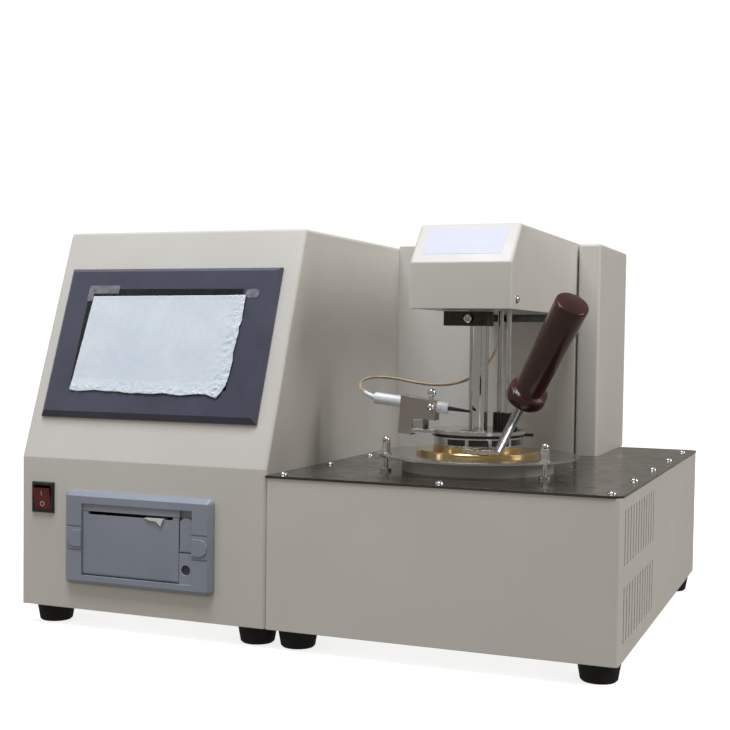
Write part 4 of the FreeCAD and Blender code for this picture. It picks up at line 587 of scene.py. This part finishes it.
def board_green():
    finish = Finish("board_green", Coat_Weight=0.3)
    tracks = finish.noise(2.2 * MM, 1.0, (6, 1, 1))
    finish.colour(finish.tint(tracks, (0.010, 0.085, 0.035), (0.020, 0.160, 0.070), 0.45, 0.55))
    finish.gloss(finish.noise(10 * MM), 0.25, 0.42)
    finish.relief(tracks, 0.03 * MM)
    return finish.material


def handle_brown():
    """Very dark red brown phenolic moulding with faint flow streaks and a painted highlight along its
    edges.
    """
    finish = Finish("handle_brown", Coat_Weight=0.45, Coat_Roughness=0.07)
    finish.soften(0.8 * MM)
    flow = finish.noise(14 * MM, 3.0, (1, 1, 3))
    body = finish.tint(flow, (0.030, 0.0038, 0.0030), (0.050, 0.0068, 0.0052))
    # the paler red brown near sharp edges is a painted highlight
    finish.colour(finish.mix(finish.edge_highlight_mask(0.8 * MM), body, (0.07, 0.014, 0.011, 1)))
    finish.gloss(finish.noise(12 * MM, 2.0), 0.16, 0.26)
    finish.relief(finish.noise(4 * MM, 1.0), 0.006 * MM)
    return finish.material


def black_metal():
    return metal("black_metal", dark=(0.030, 0.029, 0.029), light=(0.060, 0.058, 0.057), low=0.26,
                 high=0.42, grain=0.5 * MM, stretch=(1, 1, 4), depth=0.008 * MM)


def white_ceramic():
    finish = Finish("white_ceramic", Coat_Weight=0.3, Coat_Roughness=0.12, Subsurface_Weight=0.1,
                    Subsurface_Scale=0.8 * MM)
    finish.soften(0.4 * MM)
    cloud = finish.noise(7 * MM, 3.0)
    finish.colour(finish.tint(cloud, (0.76, 0.77, 0.84), (0.85, 0.86, 0.91)))
    finish.gloss(finish.noise(4 * MM, 2.0), 0.22, 0.36)
    finish.relief(finish.noise(0.7 * MM, 2.0), 0.012 * MM)
    return finish.material


def lead_sleeve():
    """Tan silicone, a little see-through, with faint clouds along it."""
    finish = Finish("lead_sleeve", Coat_Weight=0.25, Coat_Roughness=0.2, Subsurface_Weight=0.2,
                    Subsurface_Scale=0.5 * MM)
    cloud = finish.noise(8 * MM, 3.0)
    finish.colour(finish.tint(cloud, (0.50, 0.37, 0.22), (0.66, 0.52, 0.34)))
    finish.gloss(finish.noise(5 * MM, 2.0), 0.30, 0.45)
    finish.relief(finish.noise(0.9 * MM, 2.0), 0.015 * MM)
    return finish.material


SLOT_FINISHES = {
    build.__name__: build()
    for build in (
        cream_shell, inner_steel, foot_rubber, black_bezel, screen_glass, screen_film, dark_plastic,
        switch_red, printer_grey, printer_dark, paper, platen_rubber, bare_steel, board_green,
        bronze_plate, chrome, aluminium, brass, handle_brown, black_metal, white_ceramic, lead_sleeve)
}
DISC = ground_disc()
SKIRT = turned_skirt()
BLOCK = dark_block()
CLAMP = black_clamp()
NODE_FINISHES = {
    "shield_disc": DISC, "lid_plate": DISC, "lid_skirt": SKIRT, "igniter_block": BLOCK,
    "rod_clamps": CLAMP,
}


SHARP_ANGLE = math.radians(30)
WELD = 0.001 * MM


def smooth_faces():
    """Nodes that weld a CAD mesh and shade it smooth, except across its sharp edges."""
    tree = bpy.data.node_groups.new("smooth_faces", "GeometryNodeTree")
    tree.interface.new_socket("Geometry", in_out="INPUT", socket_type="NodeSocketGeometry")
    tree.interface.new_socket("Geometry", in_out="OUTPUT", socket_type="NodeSocketGeometry")
    start = tree.nodes.new("NodeGroupInput")
    weld = tree.nodes.new("GeometryNodeMergeByDistance")
    weld.inputs["Distance"].default_value = WELD
    angle = tree.nodes.new("GeometryNodeInputMeshEdgeAngle")
    sharp = tree.nodes.new("FunctionNodeCompare")
    sharp.data_type = "FLOAT"
    sharp.operation = "GREATER_THAN"
    sharp.inputs[1].default_value = SHARP_ANGLE
    edges = tree.nodes.new("GeometryNodeSetShadeSmooth")
    edges.domain = "EDGE"
    edges.inputs["Shade Smooth"].default_value = False
    faces = tree.nodes.new("GeometryNodeSetShadeSmooth")
    faces.domain = "FACE"
    faces.inputs["Shade Smooth"].default_value = True
    end = tree.nodes.new("NodeGroupOutput")
    link = tree.links.new
    link(start.outputs["Geometry"], weld.inputs["Geometry"])
    link(angle.outputs["Unsigned Angle"], sharp.inputs[0])
    link(weld.outputs["Geometry"], faces.inputs["Geometry"])
    link(faces.outputs["Geometry"], edges.inputs["Geometry"])
    link(sharp.outputs["Result"], edges.inputs["Selection"])
    link(edges.outputs["Geometry"], end.inputs["Geometry"])
    return tree


def dress_nodes():
    smooth = smooth_faces()
    for entry in frame["record"]["subparts"]:
        item = frame["nodes"][entry["node"]]
        material = NODE_FINISHES.get(entry["node"], SLOT_FINISHES[entry["material_slot"]])
        if not item.material_slots:
            item.data.materials.append(material)
        for place in item.material_slots:
            place.material = material
        item.modifiers.new("smooth_faces", "NODES").node_group = smooth


# Igniter lead: two strands that lie along one smooth route

ROUTE = [
    (0.0309, -0.11955, 0.2127),
    (0.0215, -0.11950, 0.2163),
    (0.0125, -0.11400, 0.2222),
    (0.0100, -0.10300, 0.2272),
    (0.0135, -0.09250, 0.2298),
    (0.0220, -0.08700, 0.2308),
    (0.0380, -0.08455, 0.2296),
    (0.0550, -0.08305, 0.2263),
    (0.0710, -0.08055, 0.2243),
    (0.0870, -0.07805, 0.2246),
    (0.1015, -0.07605, 0.2283),
    (0.1140, -0.07455, 0.2354),
    (0.1240, -0.07305, 0.2460),
    (0.1310, -0.07205, 0.2595),
    (0.1350, -0.07155, 0.2755),
    (0.1350, -0.07155, 0.2930),
]
ROUTE_RESOLUTION = 14
LEAD_WIDTH = 3.0 * MM
STRAND_RADIUS = LEAD_WIDTH / 4
STRAND_SIDES = 12
BOOT_SIDES = 24
BOOT_LENGTH = 12 * MM
BOOT_START = 2.5 * MM
BOOT_END = 1.75 * MM


def route_points():
    """Points along the smooth spline whose control points are the route."""
    curve = bpy.data.curves.new("route", "CURVE")
    curve.dimensions = "3D"
    curve.resolution_u = ROUTE_RESOLUTION
    spline = curve.splines.new("NURBS")
    spline.points.add(len(ROUTE) - 1)
    for point, place in zip(spline.points, ROUTE):
        point.co = (*place, 1)
    spline.order_u = 3
    spline.use_endpoint_u = True
    holder = bpy.data.objects.new("route", curve)
    mesh = bpy.data.meshes.new_from_object(holder)
    points = [vertex.co.copy() for vertex in mesh.vertices]
    bpy.data.objects.remove(holder)
    bpy.data.curves.remove(curve)
    bpy.data.meshes.remove(mesh)
    return points


def length_of(points):
    return sum((b - a).length for a, b in zip(points, points[1:]))


def first_stretch(points, length):
    kept = [points[0]]
    for point in points[1:]:
        kept.append(point)
        if length_of(kept) >= length:
            break
    return kept


def igniter_lead():
    points = route_points()

    def build(shape):
        for side in (-1, 1):
            add_sweep(shape, points, STRAND_RADIUS, STRAND_SIDES, side * STRAND_RADIUS)

    item = finished("igniter_lead_pair", mesh_from("igniter_lead_pair", build), None,
                    SLOT_FINISHES["lead_sleeve"])
    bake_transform(item)
    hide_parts("igniter_lead")
    length_of(points)
    [tuple(p) for p in points]
    return points


def lead_boot(points):
    """Tapered sleeve where the lead leaves the igniter."""
    stretch = first_stretch(points, BOOT_LENGTH)
    last = len(stretch) - 1
    radii = [BOOT_START + (BOOT_END - BOOT_START) * k / last for k in range(last + 1)]
    mesh = mesh_from("lead_boot", lambda shape: add_sweep(shape, stretch, radii, BOOT_SIDES))
    finished("lead_boot", mesh, "igniter", SLOT_FINISHES["white_ceramic"])


# Protective film on the touch screen, its corners measured from the middle of the surround's face

SCREEN_SLOPE = (0, -1, 0.366)
FILM_BOTTOM_LEFT = Vector((-82.4, -49.4)) * MM
FILM_BOTTOM_RIGHT = Vector((78.2, -50.3)) * MM
FILM_TOP_RIGHT = Vector((82.3, 44.6)) * MM
FILM_TOP_LEFT = Vector((-77.6, 43.5)) * MM
FILM_COLUMNS = 190
FILM_ROWS = 120
FILM_GAUGE = 0.12 * MM
FILM_LIFT = 0.45 * MM
CRINKLE_HEIGHT = 1.3 * MM
CRINKLE_SIZE = 6.5 * MM
CRINKLE_RIGHT = 0.13
CRINKLE_BOTTOM = 0.13
CRINKLE_REST = 0.04
CRINKLE_REST_SHARE = 0.35
FOLD_SHARE = 0.62
FINE_SHARE = 0.38
FINE_FACTOR = 2.3
NOISE_LEVEL = 3.1
EDGE_WAVES = 9
EDGE_HEIGHT = 1.6 * MM
EDGE_NOISE = (0.7, 5.2)
EDGE_BOTTOM_START = 3
EDGE_RIGHT_POWER = 6
EDGE_BOTTOM_POWER = 8
CORNER_RISE = 0.10
CORNER_RUN = 0.12
CORNER_IN = 8.0 * MM
CORNER_DOWN = 2.5 * MM
GAP_WIDTH = 6.0 * MM
GAP_GAUGE = 0.2 * MM
GAP_COVER = 2.5 * MM
GLASS_HALF_HEIGHT = 45 * MM


def screen_place():
    middle, normal = face_towards("screen_bezel", SCREEN_SLOPE)
    return standing_on(middle, normal)


def crinkle(u, v, x, y):
    """Height of the film's folds: strong along the right and the bottom, none in the middle."""
    right = max(0.0, 1 - (1 - u) / CRINKLE_RIGHT)
    bottom = max(0.0, 1 - v / CRINKLE_BOTTOM)
    rest = max(0.0, 1 - min(u, 1 - v) / CRINKLE_REST) * CRINKLE_REST_SHARE
    amount = min(1.0, right + bottom + rest)
    if amount <= 0:
        return 0.0
    spot = Vector((x / CRINKLE_SIZE, y / CRINKLE_SIZE, NOISE_LEVEL))
    fold = 1 - abs(noise.noise(spot) * 2)
    fine = 1 - abs(noise.noise(spot * FINE_FACTOR) * 2)
    return CRINKLE_HEIGHT * amount * (FOLD_SHARE * fold + FINE_SHARE * fine)


def film_edge(value):
    """Small waves along the torn edges of the film."""
    return noise.noise(Vector((value * EDGE_WAVES, *EDGE_NOISE))) * EDGE_HEIGHT


def film_point(u, v):
    """Place on the film, u of its width from the left and v of its height from the bottom."""
    low = FILM_BOTTOM_LEFT.lerp(FILM_BOTTOM_RIGHT, u)
    high = FILM_TOP_LEFT.lerp(FILM_TOP_RIGHT, u)
    flat = low.lerp(high, v)
    corner = max(0.0, 1 - v / CORNER_RISE) * max(0.0, 1 - (1 - u) / CORNER_RUN)
    bottom_wave = film_edge(u + EDGE_BOTTOM_START) * (1 - v) ** EDGE_BOTTOM_POWER
    flat.x += film_edge(v) * u ** EDGE_RIGHT_POWER - CORNER_IN * corner
    flat.y += bottom_wave - CORNER_DOWN * corner
    height = FILM_LIFT + GAP_GAUGE + crinkle(u, v, flat.x, flat.y)
    return Vector((flat.x, flat.y, height))


def film_mesh(place):
    def build(shape):
        rows = []
        for j in range(FILM_ROWS + 1):
            rows.append([shape.verts.new(place @ film_point(i / FILM_COLUMNS, j / FILM_ROWS))
                         for i in range(FILM_COLUMNS + 1)])
        for first, second in zip(rows, rows[1:]):
            bridge(shape, first, second, closed=False)

    return mesh_from("film_sheet", build)


def protective_film(place):
    item = finished("film_sheet", film_mesh(place), "frame",
                    SLOT_FINISHES["screen_film"])
    skin = item.modifiers.new("gauge", "SOLIDIFY")
    skin.thickness = FILM_GAUGE
    skin.offset = -1
    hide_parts("screen_film")


def screen_gap(place):
    """Dark joint between the glass and the surround, seen left of the film and above it."""
    low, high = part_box("screen_film")
    inner_x = (high[0] - low[0]) / 2 - GAP_COVER
    inner_y = GLASS_HALF_HEIGHT
    outer_x = inner_x + GAP_WIDTH
    outer_y = inner_y + GAP_WIDTH
    outline = [(-outer_x, -inner_y), (-inner_x, -inner_y), (-inner_x, inner_y), (inner_x, inner_y),
               (inner_x, outer_y), (-outer_x, outer_y)]

    def build(shape):
        add_plate(shape, outline, GAP_GAUGE, place)

    finished("screen_gap", mesh_from("screen_gap", build), "frame", gap_black(), False)


# Tapes: middle across, middle up, width, height and corner radius

TAPE_GAUGE = 0.1 * MM
TAPE_LIFT = 0.05 * MM
TAPES = [
    (-68.2 * MM, 50.4 * MM, 33.0 * MM, 8.0 * MM, 0.8 * MM),
    (-81.7 * MM, 42.6 * MM, 6.0 * MM, 7.4 * MM, 0.8 * MM),
    (87.6 * MM, 46.5 * MM, 13.0 * MM, 8.4 * MM, 3.9 * MM),
]


def film_tabs(place):
    material = clear_tape()

    def build(shape):
        for k, (x, y, width, height, corner) in enumerate(TAPES):
            lift = Vector((x, y, GAP_GAUGE + TAPE_LIFT + k * TAPE_GAUGE / 2))
            add_plate(shape, round_outline(width, height, corner), TAPE_GAUGE,
                      place @ Matrix.Translation(lift))

    finished("film_tabs", mesh_from("film_tabs", build), "frame", material, False)


# Label, switch marks and small fasteners

LABEL_MARGIN_X = 10.5 * MM
LABEL_MARGIN_Y = 7.5 * MM
LABEL_RISE = 2.5 * MM
LABEL_GAUGE = 0.15 * MM
LABEL_CORNER = 0.8 * MM
HOOD_BEVEL = (0, -0.75, 0.66)
HOOD_BEVEL_LENGTH = 46.3 * MM


def hood_label():
    """Blank label on the bevel of the hood."""
    middle, normal = face_towards("hood", HOOD_BEVEL)
    low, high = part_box("hood")
    width = high[0] - low[0] - 2 * LABEL_MARGIN_X
    height = HOOD_BEVEL_LENGTH - 2 * LABEL_MARGIN_Y
    place = standing_on(middle, normal) @ Matrix.Translation((0, LABEL_RISE, 0))

    def build(shape):
        add_plate(shape, round_outline(width, height, LABEL_CORNER), LABEL_GAUGE, place)

    finished("hood_label", mesh_from("hood_label", build), "head", label_paper(), False)


# Windows round the skirt, painted as dark strips of shade, their angles in degrees round the cup's axis

WINDOW_FIRST = -114.4
WINDOW_PITCH = 29.5
WINDOW_SWEEP = 25.0
WINDOW_COUNT = 9
WINDOW_STEPS = 10
WINDOW_EDGE = 1.1 * MM
WINDOW_LIFT = 0.12 * MM
WINDOW_DEEP = 0.6 * MM
WINDOW_HEIGHT = 5.4 * MM


def painted_window_shade():
    """Painted shade: black strips that stand for the dark inside seen through the openings in the wall
    below the lid.
    """
    finish = Finish("painted_window_shade", Coat_Weight=0.4, Coat_Roughness=0.1)
    finish.colour(finish.tint(finish.noise(6 * MM), (0.003, 0.003, 0.005), (0.009, 0.008, 0.011)))
    finish.gloss(finish.noise(3 * MM, 3.0), 0.14, 0.28)
    finish.relief(finish.noise(1.0 * MM), 0.008 * MM)
    return finish.material


def add_window(shape, axis, first, edges):
    """A dark strip of painted shade in the wall from angle first on, its edges as pairs of radius and
    height.
    """
    rows = []
    for radius, height in edges:
        row = []
        for j in range(WINDOW_STEPS + 1):
            angle = math.radians(first + WINDOW_SWEEP * j / WINDOW_STEPS)
            row.append(shape.verts.new((axis.x + radius * math.cos(angle),
                                        axis.y + radius * math.sin(angle), height)))
        rows.append(row)
    for one, two in zip(rows, rows[1:] + rows[:1]):
        bridge(shape, one, two, closed=False)
    shape.faces.new([row[0] for row in rows])
    shape.faces.new([row[-1] for row in reversed(rows)])


def skirt_windows():
    low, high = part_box("lid_skirt")
    axis = (Vector(low) + Vector(high)) / 2
    outer = (high[0] - low[0]) / 2 + WINDOW_LIFT
    inner = outer - WINDOW_DEEP
    bottom = low[2] + WINDOW_EDGE
    top = bottom + WINDOW_HEIGHT
    edges = ((outer, bottom), (outer, top), (inner, top), (inner, bottom))

    def build(shape):
        for k in range(WINDOW_COUNT):
            add_window(shape, axis, WINDOW_FIRST + k * WINDOW_PITCH, edges)

    finished("skirt_windows", mesh_from("skirt_windows", build), "head", painted_window_shade(),
             False)


MARK_GAUGE = 0.12 * MM
MARK_RADIUS = 2.3 * MM
MARK_LINE = 0.55 * MM
FORWARD = (0, -1, 0)
ROCKER_SPREAD = 0.8


def switch_marks():
    """A ring on the lower half of the rocker and a bar on the upper half."""
    centre = middle_of("switch_rocker")

    def half(keep):
        return standing_on(*face_towards("switch_rocker", FORWARD, ROCKER_SPREAD, keep))

    def build(shape):
        below = half(lambda c: c.z < centre.z)
        add_ring(shape, circle(MARK_RADIUS), circle(MARK_RADIUS - MARK_LINE), MARK_GAUGE, below)
        above = half(lambda c: c.z > centre.z)
        bar = round_outline(MARK_LINE, 2 * MARK_RADIUS, MARK_LINE / 3)
        add_plate(shape, bar, MARK_GAUGE, above)

    finished("switch_marks", mesh_from("switch_marks", build), "rocker", mark_white(), False)


FACING_FRONT = Matrix((ACROSS, UP, Vector(FORWARD))).transposed().to_4x4()
PAN_RADIUS = 3.0 * MM
PAN_HEIGHT = 1.6 * MM
PAN_INSET = 9 * MM
PAN_PROFILE = [(1.0, 0.0), (0.98, 0.35), (0.86, 0.72), (0.62, 0.94), (0.3, 1.0), (0.18, 0.35)]


def back_screws():
    """Screws that hold the back panel of the console."""
    turn = Matrix.Rotation(math.pi, 4, "Z") @ FACING_FRONT
    places = []
    low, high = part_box("console_back_panel")
    for x in (low[0] + PAN_INSET, high[0] - PAN_INSET):
        for z in (low[2] + PAN_INSET, (low[2] + high[2]) / 2, high[2] - PAN_INSET):
            places.append((x, high[1], z))

    def build(shape):
        for spot in places:
            add_turned(shape, Matrix.Translation(spot) @ turn, PAN_PROFILE, PAN_RADIUS, PAN_HEIGHT)

    finished("back_screws", mesh_from("back_screws", build), "frame", SLOT_FINISHES["chrome"])


SOCKET_RADIUS = 3.7 * MM
SOCKET_HEIGHT = 3.0 * MM
SOCKET_LEFT = 6.5 * MM
SOCKET_UNDER = 6.6 * MM
SOCKET_PROFILE = [(1.0, 0.0), (1.0, 0.8), (0.9, 1.0), (0.62, 1.0), (0.52, 0.9), (0.52, 0.2)]


def clamp_screw():
    """Socket screw in the front of the clamp under the hood."""
    low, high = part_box("rod_clamps")
    spot = Vector((CUP_AXIS.x - SOCKET_LEFT, low[1], high[2] - SOCKET_UNDER))
    place = Matrix.Translation(spot) @ FACING_FRONT

    def build(shape):
        add_turned(shape, place, SOCKET_PROFILE, SOCKET_RADIUS, SOCKET_HEIGHT)

    finished("clamp_screw", mesh_from("clamp_screw", build), "head", SLOT_FINISHES["chrome"])


# Studio

BOWL_MIDDLE = 0.8
BOWL_FLAT = 3.2
BOWL_ROUND = 2.6
BOWL_RINGS = 16
BOWL_STEPS = 96
FLOOR_GLOW = 0.78


def bowl_profile():
    """Radius and height of each ring of the floor, out from its middle."""
    profile = [(BOWL_MIDDLE, 0.0), (BOWL_FLAT, 0.0)]
    for k in range(1, BOWL_RINGS + 1):
        angle = math.radians(90 * k / BOWL_RINGS)
        profile.append((BOWL_FLAT + BOWL_ROUND * math.sin(angle), BOWL_ROUND * (1 - math.cos(angle))))
    return profile


def studio_floor():
    """A pale floor that rises all round into a wall, without an edge."""
    def build(shape):
        centre = shape.verts.new((0, 0, 0))
        rows = [add_row(shape, circle(radius, BOWL_STEPS), height, Matrix())
                for radius, height in bowl_profile()]
        for k in range(BOWL_STEPS):
            shape.faces.new((centre, rows[0][k], rows[0][(k + 1) % BOWL_STEPS]))
        for first, second in zip(rows, rows[1:]):
            bridge(shape, second, first)

    mesh = mesh_from("studio_floor", build)
    for face in mesh.polygons:
        face.use_smooth = True
    item = bpy.data.objects.new("studio_floor", mesh)
    bpy.context.collection.objects.link(item)
    finish = Finish("studio_floor", Specular_IOR_Level=0.2, Emission_Color=(1, 1, 1, 1),
                    Emission_Strength=FLOOR_GLOW)
    finish.colour(finish.tint(finish.noise(0.7), (0.82, 0.82, 0.83), (0.86, 0.86, 0.87)))
    finish.gloss(finish.noise(0.3), 0.75, 0.9)
    finish.relief(finish.noise(2 * MM), 0.02 * MM)
    mesh.materials.append(finish.material)
    item.visible_diffuse = False
    item.visible_glossy = False


SUBJECT = (0.02, 0.0, 0.16)
WORLD_COLOUR = (1.0, 0.94, 0.84, 1)
WORLD_STRENGTH = 0.285


def soft_light(name, place, size, power, colour):
    """A rectangular light that looks at the object."""
    data = bpy.data.lights.new(name, "AREA")
    data.shape = "RECTANGLE"
    data.size = size[0]
    data.size_y = size[1]
    data.energy = power
    data.color = colour
    item = bpy.data.objects.new(name, data)
    item.location = place
    item.rotation_euler = (Vector(SUBJECT) - Vector(place)).to_track_quat("-Z", "Y").to_euler()
    bpy.context.collection.objects.link(item)


def studio_lights():
    world = bpy.data.worlds.new("studio")
    world.use_nodes = True
    background = world.node_tree.nodes["Background"]
    background.inputs["Color"].default_value = WORLD_COLOUR
    background.inputs["Strength"].default_value = WORLD_STRENGTH
    bpy.context.scene.world = world
    bpy.context.scene.view_settings.view_transform = "Standard"
    soft_light("key", place=(-0.10, -0.80, 2.45), size=(1.4, 1.0), power=46, colour=(0.96, 1.0, 1.07))
    soft_light("side", place=(2.3, 0.1, 1.3), size=(0.7, 1.3), power=19, colour=(1.0, 0.99, 0.97))
    soft_light("strip", place=(-1.7, -1.2, 0.9), size=(0.25, 1.2), power=3, colour=(0.97, 0.98, 1.0))


def main():
    camera()
    points = igniter_lead()
    lead_boot(points)
    dress_nodes()
    place = screen_place()
    screen_gap(place)
    protective_film(place)
    film_tabs(place)
    hood_label()
    switch_marks()
    skirt_windows()
    back_screws()
    clamp_screw()
    studio_floor()
    studio_lights()


main()
